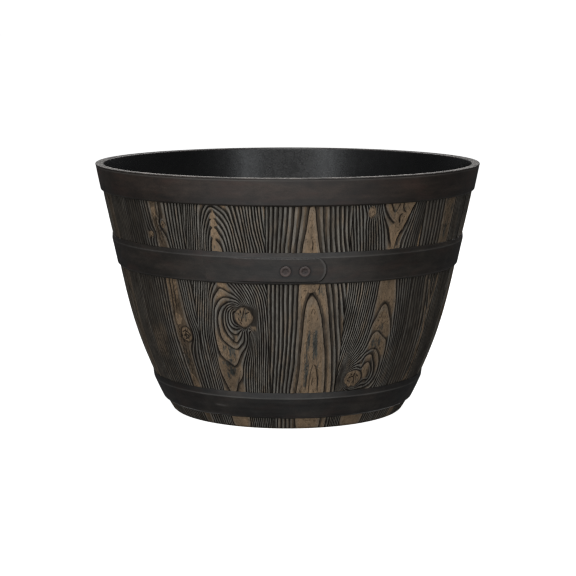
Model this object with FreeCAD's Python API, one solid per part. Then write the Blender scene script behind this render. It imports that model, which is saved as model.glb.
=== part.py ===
import FreeCAD, Part
import math
import os
from FreeCAD import Vector as V

os.makedirs("parts", exist_ok=True)

# ---------------------------------------------------------------------------
# Driving dimensions, in millimetres. Origin: centre of the foot, on the floor.
# +Z is up. "phi" is the angle round the barrel, 0 at the front (-Y),
# growing towards +X.
# ---------------------------------------------------------------------------
HEIGHT = 336.0            # floor to the top of the lining's lip
RIM_R = 260.0             # outer radius of the lip, the widest point
RIM_WIDTH = 11.2          # lip width, outer edge to inner edge
LIP_T = 2.0               # lip thickness

# outer radius of the staves against height
STAVE_PROFILE = [(157.6, 0.0), (167.4, 16.8), (178.7, 40.3), (193.1, 73.9),
                 (208.7, 117.6), (221.8, 168.0), (233.3, 221.7),
                 (246.0, 278.9), (257.3, 336.0)]
STAVE_COUNT = 14
SEAM_PHI = -6.53          # first seam; the first stave starts here
STAVE_T_TOP = 6.0         # horizontal thickness of a stave at the rim
STAVE_T_FOOT = 10.0       # and at the foot
STAVE_EDGE = 0.8          # chamfer on the stave ends

HEAD_Z = 24.0             # underside of the bottom boards
HEAD_T = 12.0             # thickness of the bottom boards
CROZE_DEPTH = 3.0         # groove in the staves that holds the head
CROZE_PLAY_Z = 0.2
CROZE_PLAY_R = 0.3
HEAD_JOINTS = [-102.0, -34.0, 34.0, 102.0]   # y of the joints between boards
HEAD_DRAIN_R = 8.0
HEAD_PLUG_R = 18.0        # clearance hole under the drain plug

DOWEL_R = 3.0
DOWEL_L = 40.0
DOWEL_X = [-62.0, 62.0]
DOWEL_PLAY = 0.05

HOOP_GAP = 0.1            # between hoop and staves
HOOP_EDGE_T = 0.5         # hoop thickness at the foot of its bevels
# each hoop: low bevel, face low, face top, high bevel, proud, lap angle
HOOPS = {
    "hoop_top":    dict(z=(300.1, 303.1, 333.0, 333.7), proud=2.7, lap=150.0),
    "hoop_middle": dict(z=(200.0, 203.9, 234.9, 241.0), proud=2.35, lap=0.0),
    "hoop_bottom": dict(z=(15.6, 19.0, 44.8, 52.6), proud=2.95, lap=205.0),
}
TONGUE_T = 1.2            # thickness of the lapped end
TONGUE_GAP = 0.1          # between the tongue and the strip below it
TONGUE_TOP_STEP = 1.5     # the tongue stops this far below the hoop's face top
TONGUE_LOW_STEP = 0.6
TONGUE_START = -20.0      # degrees from the lap angle: where the tongue grows
TONGUE_BUTT = -9.0        # where the hidden end of the strip butts
TONGUE_END = 12.0         # rounded end
RIVET_PHI = (-0.6, 5.2)   # degrees from the lap angle, on the middle hoop
RIVET_DROP = 1.0          # rivet centres below the middle of the tongue
RIVET_MID_R = 235.0       # the radius at which those angles were taken
RIVET_SHANK_R = 2.95
RIVET_HOLE_R = 3.0
RIVET_HEAD_R = 7.25
RIVET_HEAD_H = 2.2
RIVET_DISH_R = 3.9
RIVET_DISH_Z = 1.1

LINER_T = 1.7             # wall of the lining
LINER_GAP_TOP = 0.4       # gap to the staves at the rim
LINER_GAP_LOW = 1.0       # and at the bottom
LINER_FLOOR_Z = 38.0
LINER_FLOOR_T = 2.2
LINER_CORNER = 16.0
DRAIN_R = 10.0

PLUG_SHANK_R = 9.95
PLUG_FLANGE_R = 15.0
PLUG_FLANGE_T = 3.0
PLUG_KNOB_R = 6.0
PLUG_KNOB_H = 12.0
PLUG_BELOW = 5.0          # how far the plug reaches below the lining floor

# ---------------------------------------------------------------------------
# helpers
# ---------------------------------------------------------------------------
AX0 = V(0, 0, 0)
AXZ = V(0, 0, 1)
STAVE_TOP = HEIGHT - LIP_T

profile = Part.BSplineCurve()
profile.interpolate([V(r, 0, z) for r, z in STAVE_PROFILE])


def param_at(z):
    lo, hi = profile.FirstParameter, profile.LastParameter
    for _ in range(60):
        mid = 0.5 * (lo + hi)
        if profile.value(mid).z < z:
            lo = mid
        else:
            hi = mid
    return 0.5 * (lo + hi)


def r_out(z):
    return profile.value(param_at(z)).x


def r_in(z):
    t = STAVE_T_FOOT + (STAVE_T_TOP - STAVE_T_FOOT) * z / STAVE_TOP
    return r_out(z) - t


def r_liner(z):
    f = (STAVE_TOP - z) / STAVE_TOP
    return r_in(z) - LINER_GAP_TOP - (LINER_GAP_LOW - LINER_GAP_TOP) * f


def spline(points):
    c = Part.BSplineCurve()
    c.interpolate(points)
    return c.toShape()


def line(a, b):
    return Part.LineSegment(a, b).toShape()


def arc(a, m, b):
    return Part.Arc(a, m, b).toShape()


def along(fn, z0, z1, n):
    return [V(fn(z0 + (z1 - z0) * i / n), 0, z0 + (z1 - z0) * i / n) for i in range(n + 1)]


def face_of(edges):
    w = Part.Wire(Part.__sortEdges__(edges))
    return Part.Face(w)


def turn(face, phi0, phi1):
    """Revolve a section drawn in the XZ plane from phi0 to phi1 degrees."""
    s = face.copy()
    s.rotate(AX0, AXZ, phi0 - 90.0)
    return s.revolve(AX0, AXZ, phi1 - phi0)


def at_phi(r, phi, z):
    a = math.radians(phi)
    return V(r * math.sin(a), -r * math.cos(a), z)


def one_solid(shape):
    merged = shape.removeSplitter()
    if merged.isValid() and abs(merged.Volume - shape.Volume) < 1e-4 * shape.Volume:
        shape = merged
    if len(shape.Solids) == 1:
        return shape.Solids[0]
    return shape


def save(shape, name):
    solids = shape.Solids
    ok = all(s.isValid() for s in solids)
    print("%-22s solids %d  volume %.1f cm3  valid %s" % (
        name, len(solids), sum(s.Volume for s in solids) / 1000.0, ok))
    shape.exportStep("parts/%s.step" % name)


# ---------------------------------------------------------------------------
# staves: one plank's section, with the croze groove near the foot
# ---------------------------------------------------------------------------
cz0 = HEAD_Z - CROZE_PLAY_Z
cz1 = HEAD_Z + HEAD_T + CROZE_PLAY_Z
e = STAVE_EDGE
outer = profile.toShape(param_at(e), param_at(STAVE_TOP - 0.4))
o_low, o_top = V(r_out(e), 0, e), V(r_out(STAVE_TOP - 0.4), 0, STAVE_TOP - 0.4)
pts_in_hi = along(r_in, cz1, STAVE_TOP - e, 12)
pts_in_lo = along(r_in, e, cz0, 4)
p_top_in = V(r_in(STAVE_TOP) + e, 0, STAVE_TOP)
p_top_out = V(r_out(STAVE_TOP) - 0.4, 0, STAVE_TOP)
p_foot_out = V(r_out(0) - e, 0, 0)
p_foot_in = V(r_in(0) + e, 0, 0)
stave_face = face_of([
    outer,
    line(o_top, p_top_out),
    line(p_top_out, p_top_in),
    line(p_top_in, pts_in_hi[-1]),
    spline(pts_in_hi),
    line(pts_in_hi[0], V(r_in(cz1) + CROZE_DEPTH, 0, cz1)),
    line(V(r_in(cz1) + CROZE_DEPTH, 0, cz1), V(r_in(cz0) + CROZE_DEPTH, 0, cz0)),
    line(V(r_in(cz0) + CROZE_DEPTH, 0, cz0), pts_in_lo[-1]),
    spline(pts_in_lo),
    line(pts_in_lo[0], p_foot_in),
    line(p_foot_in, p_foot_out),
    line(p_foot_out, o_low),
])
pitch = 360.0 / STAVE_COUNT
for i in range(STAVE_COUNT):
    phi0 = SEAM_PHI + i * pitch
    save(turn(stave_face, phi0, phi0 + pitch), "stave_%02d" % (i + 1))

# ---------------------------------------------------------------------------
# head: five boards cut from one disc with a conical edge, and their dowels
# ---------------------------------------------------------------------------
rb = r_in(HEAD_Z) + CROZE_DEPTH - CROZE_PLAY_R
rt = r_in(HEAD_Z + HEAD_T) + CROZE_DEPTH - CROZE_PLAY_R
disc = Part.makeCone(rb, rt, HEAD_T, V(0, 0, HEAD_Z), AXZ)
disc = disc.cut(Part.makeCylinder(HEAD_PLUG_R, HEAD_T + 2, V(0, 0, HEAD_Z - 1), AXZ))
for sx in (-1, 1):
    for sy in (-1, 1):
        disc = disc.cut(Part.makeCylinder(HEAD_DRAIN_R, HEAD_T + 2,
                                          V(sx * 78.0, sy * 68.0, HEAD_Z - 1), AXZ))
dowels = []
zm = HEAD_Z + 0.5 * HEAD_T
for y in HEAD_JOINTS:
    for x in DOWEL_X:
        hole_l = DOWEL_L + 2.0
        disc = disc.cut(Part.makeCylinder(DOWEL_R + DOWEL_PLAY, hole_l,
                                          V(x, y - 0.5 * hole_l, zm), V(0, 1, 0)))
        pin = Part.makeCylinder(DOWEL_R, DOWEL_L, V(x, y - 0.5 * DOWEL_L, zm), V(0, 1, 0))
        pin = pin.makeChamfer(0.6, [ed for ed in pin.Edges if isinstance(ed.Curve, Part.Circle)])
        dowels.append(pin)
ys = [-200.0] + HEAD_JOINTS + [200.0]
for i in range(len(ys) - 1):
    slab = Part.makeBox(400, ys[i + 1] - ys[i], 40, V(-200, ys[i], HEAD_Z - 10))
    save(one_solid(disc.common(slab)), "head_board_%d" % (i + 1))
save(Part.makeCompound(dowels), "head_dowels")


# ---------------------------------------------------------------------------
# hoops: a bevelled strip bent round the staves; one end is thinned to a tongue
# that laps over the other end and is riveted there
# ---------------------------------------------------------------------------
def rivet_solid(length):
    """Shank along -Z from the seat at z = 0, dished head above it."""
    h, R, d, dz = RIVET_HEAD_H, RIVET_HEAD_R, RIVET_DISH_R, RIVET_DISH_Z
    seat = 0.03
    p = [V(0, 0, -length), V(RIVET_SHANK_R, 0, -length), V(RIVET_SHANK_R, 0, seat),
         V(R, 0, seat), V(R, 0, 0.5), V(5.5, 0, h), V(d, 0, dz), V(0, 0, dz - 0.1)]
    edges = [line(p[0], p[1]), line(p[1], p[2]), line(p[2], p[3]), line(p[3], p[4]),
             arc(p[4], V(6.75, 0, 1.65), p[5]), arc(p[5], V(4.45, 0, 1.85), p[6]),
             line(p[6], p[7]), line(p[7], p[0])]
    return face_of(edges).revolve(AX0, AXZ, 360)


for name, spec in HOOPS.items():
    z0, z1, z2, z3 = spec["z"]
    proud, lap = spec["proud"], spec["lap"]
    thick = proud - HOOP_GAP

    def shifted(d):
        return lambda z: r_out(z) + d

    inner_pts = along(shifted(HOOP_GAP), z0, z3, 8)
    face_pts = along(shifted(proud), z1, z2, 6)
    top_edge = V(r_out(z3) + (HOOP_GAP + HOOP_EDGE_T if z3 < STAVE_TOP - 10 else proud - 0.6), 0, z3)
    low_edge = V(r_out(z0) + HOOP_GAP + HOOP_EDGE_T, 0, z0)
    section = face_of([
        spline(inner_pts),
        line(inner_pts[-1], top_edge),
        line(top_edge, face_pts[-1]),
        spline(face_pts),
        line(face_pts[0], low_edge),
        line(low_edge, inner_pts[0]),
    ])
    # angles on the smaller and larger hoops keep the lap's length along the strip
    k = RIVET_MID_R / (r_out(0.5 * (z1 + z2)) + proud)
    butt = lap + TONGUE_BUTT * k
    start = lap + TONGUE_START * k
    end = lap + TONGUE_END * k
    strip = turn(section, butt + 0.15, butt + 359.85)

    tz0 = z1 + TONGUE_LOW_STEP
    tz1 = z2 - (TONGUE_TOP_STEP if z3 < STAVE_TOP - 10 else 3.0)

    def plate(d0, d1):
        a = along(shifted(d0), tz0, tz1, 6)
        b = along(shifted(d1), tz0, tz1, 6)
        return face_of([spline(a), line(a[-1], b[-1]), spline(b), line(b[0], a[0])])

    tongue = turn(plate(proud + TONGUE_GAP, proud + TONGUE_GAP + TONGUE_T), start, end + 1.0)
    root = turn(plate(proud - 0.4, proud + TONGUE_GAP + 0.3), start, butt - 0.3)
    # rounded end, cut by a prism that looks along the radius
    mid_z = 0.5 * (tz0 + tz1)
    rm = r_out(mid_z) + proud + TONGUE_T
    s_end = math.radians(end - lap) * rm
    ht = 0.5 * (tz1 - tz0) + 1.5
    bulge = 8.5
    sec = [V(s_end - 120, 0, mid_z - ht), V(s_end - bulge - 4, 0, mid_z - ht),
           V(s_end - bulge + 0.8, 0, mid_z - ht + 3.2), V(s_end, 0, mid_z),
           V(s_end - bulge + 0.8, 0, mid_z + ht - 3.2), V(s_end - bulge - 4, 0, mid_z + ht),
           V(s_end - 120, 0, mid_z + ht)]
    outline = Part.Face(Part.Wire([
        line(sec[0], sec[1]), line(sec[1], sec[2]), arc(sec[2], sec[3], sec[4]),
        line(sec[4], sec[5]), line(sec[5], sec[6]), line(sec[6], sec[0])]))
    prism = outline.extrude(V(0, -400, 0))
    prism.rotate(AX0, AXZ, lap)
    tongue = tongue.common(prism)
    hoop = strip.fuse([root, tongue])

    # rivets, square to the strip's face
    riv_z = mid_z - RIVET_DROP
    slope = (r_out(riv_z + 4) - r_out(riv_z - 4)) / 8.0
    nrm = math.hypot(1.0, slope)
    length = (thick + TONGUE_GAP + TONGUE_T) / nrm - 0.06
    rivets = []
    for dphi in RIVET_PHI:
        phi = lap + dphi * k
        seat_r = r_out(riv_z) + proud + TONGUE_GAP + TONGUE_T
        pos = at_phi(seat_r, phi, riv_z)
        n = at_phi(1.0 / nrm, phi, -slope / nrm)
        rot = FreeCAD.Rotation(AXZ, n)
        hole = Part.makeCylinder(RIVET_HOLE_R, 12.0, V(0, 0, -6.0), AXZ)
        hole.Placement = FreeCAD.Placement(pos, rot)
        hoop = hoop.cut(hole)
        rv = rivet_solid(length)
        rv.Placement = FreeCAD.Placement(pos, rot)
        rivets.append(rv)
    save(one_solid(hoop), name)
    save(Part.makeCompound(rivets), name + "_rivets")

# ---------------------------------------------------------------------------
# lining: a thin tub with a flat lip that lies on the stave ends
# ---------------------------------------------------------------------------
zt = STAVE_TOP
zf0, zf1 = LINER_FLOOR_Z, LINER_FLOOR_Z + LINER_FLOOR_T
zw = zf0 + LINER_CORNER
rc = 1.2
r_lip_in = RIM_R - RIM_WIDTH


def r_liner_in(z):
    return r_liner(z) - LINER_T - (r_liner(STAVE_TOP) - LINER_T - r_lip_in) * (z - zw) / (STAVE_TOP - zw)


wo = along(r_liner, zw, zt, 12)
wi = along(r_liner_in, zw + 0.6, HEIGHT - rc - 1.0, 12)


def corner(fn, start, floor_z):
    """Arc that leaves the sloping wall at start and runs out flat on the floor."""
    lean = math.atan((fn(start.z + 2.0) - fn(start.z - 2.0)) / 4.0)
    drop = start.z - floor_z
    radius = (drop / math.cos(lean)) / math.tan(0.5 * (0.5 * math.pi - lean))
    cx = start.x - radius * math.cos(lean)
    czz = start.z + radius * math.sin(lean)
    mid = 0.5 * (lean + 0.5 * math.pi)
    return (V(cx + radius * math.cos(mid), 0, czz - radius * math.sin(mid)),
            V(cx, 0, czz - radius))


mo, fo = corner(r_liner, wo[0], zf0)
mi, fi = corner(r_liner_in, wi[0], zf1)
fo.z, fi.z = zf0, zf1
p_lip_in0 = wi[-1]
p_lip_in1 = V(r_lip_in + rc, 0, HEIGHT)
p_lip_out0 = V(RIM_R - rc, 0, HEIGHT)
p_lip_out1 = V(RIM_R, 0, HEIGHT - rc)
s2 = math.sqrt(0.5)
liner_face = face_of([
    spline(wo),
    line(wo[-1], V(RIM_R - 0.3, 0, zt)),
    line(V(RIM_R - 0.3, 0, zt), V(RIM_R, 0, zt + 0.3)),
    line(V(RIM_R, 0, zt + 0.3), p_lip_out1),
    arc(p_lip_out1, V(RIM_R - rc + rc * s2, 0, HEIGHT - rc + rc * s2), p_lip_out0),
    line(p_lip_out0, p_lip_in1),
    arc(p_lip_in1, V(r_lip_in + 0.22, 0, HEIGHT - 0.62), p_lip_in0),
    spline(wi),
    arc(wi[0], mi, fi),
    line(fi, V(DRAIN_R, 0, zf1)),
    line(V(DRAIN_R, 0, zf1), V(DRAIN_R, 0, zf0)),
    line(V(DRAIN_R, 0, zf0), fo),
    arc(fo, mo, wo[0]),
])
save(liner_face.revolve(AX0, AXZ, 360), "liner")

# drain plug: tapered shank, flange on the lining floor, waisted pull knob
zp = zf1
plug_face = face_of([
    line(V(0, 0, zf0 - PLUG_BELOW), V(PLUG_SHANK_R - 2.0, 0, zf0 - PLUG_BELOW)),
    line(V(PLUG_SHANK_R - 2.0, 0, zf0 - PLUG_BELOW), V(PLUG_SHANK_R, 0, zf0 - 0.5)),
    line(V(PLUG_SHANK_R, 0, zf0 - 0.5), V(PLUG_SHANK_R, 0, zp)),
    line(V(PLUG_SHANK_R, 0, zp), V(PLUG_FLANGE_R, 0, zp)),
    line(V(PLUG_FLANGE_R, 0, zp), V(PLUG_FLANGE_R, 0, zp + PLUG_FLANGE_T - 1.0)),
    line(V(PLUG_FLANGE_R, 0, zp + PLUG_FLANGE_T - 1.0), V(PLUG_FLANGE_R - 1.0, 0, zp + PLUG_FLANGE_T)),
    line(V(PLUG_FLANGE_R - 1.0, 0, zp + PLUG_FLANGE_T), V(PLUG_KNOB_R - 1.5, 0, zp + PLUG_FLANGE_T)),
    line(V(PLUG_KNOB_R - 1.5, 0, zp + PLUG_FLANGE_T), V(PLUG_KNOB_R - 2.0, 0, zp + PLUG_FLANGE_T + 4.0)),
    arc(V(PLUG_KNOB_R - 2.0, 0, zp + PLUG_FLANGE_T + 4.0),
        V(PLUG_KNOB_R, 0, zp + PLUG_FLANGE_T + 8.0),
        V(PLUG_KNOB_R - 2.5, 0, zp + PLUG_FLANGE_T + PLUG_KNOB_H)),
    line(V(PLUG_KNOB_R - 2.5, 0, zp + PLUG_FLANGE_T + PLUG_KNOB_H),
         V(0, 0, zp + PLUG_FLANGE_T + PLUG_KNOB_H)),
    line(V(0, 0, zp + PLUG_FLANGE_T + PLUG_KNOB_H), V(0, 0, zf0 - PLUG_BELOW)),
])
save(plug_face.revolve(AX0, AXZ, 360), "drain_plug")
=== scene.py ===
import math
import bpy
import numpy as np
from mathutils import Vector, Matrix


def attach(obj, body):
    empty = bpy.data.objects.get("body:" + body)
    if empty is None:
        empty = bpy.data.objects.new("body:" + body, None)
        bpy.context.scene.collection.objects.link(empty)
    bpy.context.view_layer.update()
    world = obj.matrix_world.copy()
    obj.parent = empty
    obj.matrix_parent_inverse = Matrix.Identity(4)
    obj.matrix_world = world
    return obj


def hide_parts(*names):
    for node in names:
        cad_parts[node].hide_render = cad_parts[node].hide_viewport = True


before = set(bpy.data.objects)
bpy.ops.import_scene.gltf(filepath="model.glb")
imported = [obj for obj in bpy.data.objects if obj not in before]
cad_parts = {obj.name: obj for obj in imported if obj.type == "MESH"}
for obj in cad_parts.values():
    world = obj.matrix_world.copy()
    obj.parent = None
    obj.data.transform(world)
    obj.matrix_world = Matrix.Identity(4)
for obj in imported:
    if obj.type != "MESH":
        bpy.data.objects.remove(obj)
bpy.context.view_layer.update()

# ---------------------------------------------------------------------------
# Sizes of the barrel, in millimetres. phi is the angle round the barrel in
# degrees, 0 at the front (-Y), growing towards +X.
# ---------------------------------------------------------------------------
HEIGHT = 336.0
RIM_R = 260.0
RIM_WIDTH = 11.2
LIP_T = 2.0
STAVE_TOP = HEIGHT - LIP_T
PROFILE_Z = np.array([0.0, 16.8, 40.3, 73.9, 117.6, 168.0, 221.7, 278.9, 336.0])
PROFILE_R = np.array([157.6, 167.4, 178.7, 193.1, 208.7, 221.8, 233.3, 246.0, 257.3])
STAVES = 14
PITCH = 360.0 / STAVES
SEAM0 = -6.53
T_TOP, T_FOOT = 6.0, 10.0
CROZE_Z0, CROZE_Z1, CROZE_DEPTH = 23.8, 36.2, 3.0
HOOP_GAP = 0.1
HOOPS = {
    "hoop_top": dict(z=(300.1, 301.7, 333.0, 333.9), proud=2.7, lap=150.0),
    "hoop_middle": dict(z=(200.2, 202.0, 234.9, 241.0), proud=2.35, lap=0.0),
    "hoop_bottom": dict(z=(15.6, 17.6, 44.8, 52.6), proud=2.95, lap=205.0),
}
MM = 0.001


def natural_spline(xk, yk):
    n = len(xk)
    h = np.diff(xk)
    a = np.zeros((n, n))
    b = np.zeros(n)
    a[0, 0] = a[-1, -1] = 1.0
    for i in range(1, n - 1):
        a[i, i - 1], a[i, i], a[i, i + 1] = h[i - 1], 2 * (h[i - 1] + h[i]), h[i]
        b[i] = 6 * ((yk[i + 1] - yk[i]) / h[i] - (yk[i] - yk[i - 1]) / h[i - 1])
    m = np.linalg.solve(a, b)

    def at(x):
        x = np.asarray(x, float)
        i = np.clip(np.searchsorted(xk, x) - 1, 0, n - 2)
        d0, d1, hh = x - xk[i], xk[i + 1] - x, h[i]
        return (m[i] * d1 ** 3 + m[i + 1] * d0 ** 3) / (6 * hh) + (yk[i] / hh - m[i] * hh / 6) * d1 + (yk[i + 1] / hh - m[i + 1] * hh / 6) * d0
    return at


r_out = natural_spline(PROFILE_Z, PROFILE_R)


def r_in(z):
    return r_out(z) - (T_FOOT + (T_TOP - T_FOOT) * np.asarray(z, float) / STAVE_TOP)


def r_liner(z):
    return r_in(z) - 0.4 - 0.6 * (STAVE_TOP - np.asarray(z, float)) / STAVE_TOP


# ---------------------------------------------------------------------------
# noise and curves on arrays
# ---------------------------------------------------------------------------
def vnoise(x, y, seed):
    """Smooth value noise, -1 to 1."""
    xi, yi = np.floor(x).astype(np.int64), np.floor(y).astype(np.int64)
    fx, fy = x - xi, y - yi
    fx = fx * fx * fx * (fx * (fx * 6 - 15) + 10)
    fy = fy * fy * fy * (fy * (fy * 6 - 15) + 10)

    def h(a, b):
        n = (a * 374761393 + b * 668265263 + seed * 974711) & 0x7FFFFFFF
        n = ((n ^ (n >> 13)) * 1274126177) & 0x7FFFFFFF
        n = (n ^ (n >> 16)) & 0xFFFF
        return n / 32767.5 - 1.0
    a, b, c, d = h(xi, yi), h(xi + 1, yi), h(xi, yi + 1), h(xi + 1, yi + 1)
    return (a + (b - a) * fx) * (1 - fy) + (c + (d - c) * fx) * fy


def blur(a, sig, axis):
    if sig < 0.3:
        return a
    r = max(1, int(3 * sig + 0.5))
    k = np.exp(-0.5 * (np.arange(-r, r + 1) / sig) ** 2)
    k /= k.sum()
    p = [(0, 0), (0, 0)]
    p[axis] = (r, r)
    b = np.pad(a, p, mode="edge")
    out = np.zeros_like(a)
    n = a.shape[axis]
    for i, w in enumerate(k):
        out += w * (b[i:i + n, :] if axis == 0 else b[:, i:i + n])
    return out


def step(x, a, b):
    t = np.clip((x - a) / (b - a), 0, 1)
    return t * t * (3 - 2 * t)


def logistic(x):
    return 1 / (1 + np.exp(np.clip(x, -40, 40)))



# ---------------------------------------------------------------------------
# Grain of the planks. A line is a growth ring's number and its course over the
# plank's face, as (angle, height) points; a guide is the same for a ring that
# runs up the plank, as (height, angle) points. A ring number may be a list, one
# for each point. The rings between the drawn ones are spread evenly.
# Fills are outlines of plain brown wood, strokes are dark marks (half width in
# mm, strength, course), washes and tones are soft grey and lighter places
# (angle, height, radii, amount).
# ---------------------------------------------------------------------------
GRAIN = {}
D1 = [(336, 1.5), (302, 1.0), (240, 0.45), (200, 0.14), (188, 0.0), (176, -0.16), (150, -0.32), (110, -0.43), (0, -0.46)]
GRAIN[1] = dict(
    guides=[
        (11, [(336, -8.4), (240, -9.3), (190, -10.4), (0, -12)]),
        (8, [(336, -5.0), (292, -5.2), (270, -5.4), (248, -5.7), (192, -6.5), (110, -7.2), (58, -8.5), (0, -9.5)]),
        (4, [(336, 0.3), (292, 0.1), (270, -0.2), (248, -0.8), (192, -1.2), (110, -1.6), (90, -2.2), (58, -3.2), (0, -4.7)]),
        (1, [(336, 6.3), (292, 6.0), (270, 5.3), (248, 4.4), (220, 3.8), (192, 3.4), (150, 3.2), (110, 2.6), (90, 2.4), (70, 1.6), (58, 1.1), (0, 1.2)]),
        (0, [(192, 7.55), (189, 7.2), (184, 6.7), (178, 6.1), (170, 5.7), (150, 5.2), (130, 4.9), (110, 4.5), (90, 4.3), (70, 3.8), (58, 3.3), (0, 3.2)]),
        (D1, [(336, 7.0), (240, 7.1), (205, 7.5), (194, 7.6)]),
        ([(170, -0.2), (150, -0.32), (110, -0.43), (0, -0.46)], [(170, 8.0), (150, 8.3), (110, 9.0), (58, 9.2), (0, 9.5)]),
        (0, [(192, 7.65), (189, 8.1), (184, 8.8), (178, 9.7), (170, 10.4), (150, 11.7), (130, 12.5), (110, 13.5), (90, 14.0), (70, 14.6), (58, 14.8), (0, 14.8)]),
        (1, [(336, 7.7), (292, 8.2), (270, 8.8), (248, 9.7), (220, 11.2), (192, 12.5), (170, 13.4), (150, 14.1), (110, 15.7), (90, 16.4), (58, 17.4), (0, 17.6)]),
        (3, [(336, 11.9), (292, 12.3), (270, 12.6), (248, 13.0), (192, 16.3), (150, 17.5), (110, 19.2), (58, 20.6), (0, 20.8)]),
        (8, [(336, 18.8), (292, 19.1), (270, 19.3), (248, 20.3), (192, 23), (110, 26), (0, 28)]),
    ],
    knots=[],
    stains=[(7.2, 118, 0.5, 16, 0.25), (9.7, 120, 0.35, 9, 0.3), (5.4, 56, 0.5, 5, 0.8), (7.4, 252, 0.16, 18, 0.9)],
    fills=[[(6.5, 190.5), (7.4, 197), (8.5, 190.5), (7.5, 188.6)]],
    strokes=[(0.9, 0.7, [(8.3, 52), (8.4, 66), (8.5, 76), (8.8, 86), (9.3, 92)]), (1.2, 0.75, [(9.7, 92.5), (10.4, 90), (11.0, 84), (11.5, 74), (11.8, 64), (11.9, 54)]),
             (0.8, 0.7, [(9.4, 64), (9.6, 73)]), (0.9, 0.75, [(10.3, 200), (10.1, 195), (9.6, 192)]), (0.6, 0.75, [(5.2, 192), (6.2, 192.6)]), (0.5, 0.6, [(5.4, 189), (6.0, 189.6)]),
             (0.6, 0.6, [(7.8, 161), (8.4, 168)]), (0.5, 0.5, [(8.8, 160), (9.2, 165)]), (1.1, 0.6, [(7.0, 56), (7.1, 66), (7.4, 78)])],
    washes=[(7.3, 122, 0.9, 18, 0.75), (9.7, 117, 0.9, 22, 0.8), (6.9, 84, 0.95, 28, 0.8), (10.9, 190, 1.3, 13, 0.55), (11.8, 150, 0.7, 30, 0.35), (11.2, 92, 0.7, 9, 0.4), (11.5, 68, 0.5, 12, 0.4)],
    rough=[(7.2, 118, 1.2, 26, 0.42), (7.0, 80, 0.9, 22, 0.4), (9.6, 122, 0.8, 14, 0.4), (9.0, 190, 2.0, 10, 0.25)],
    tones=[(6.0, 120, 16, 72, 0.90)],
)
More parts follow.
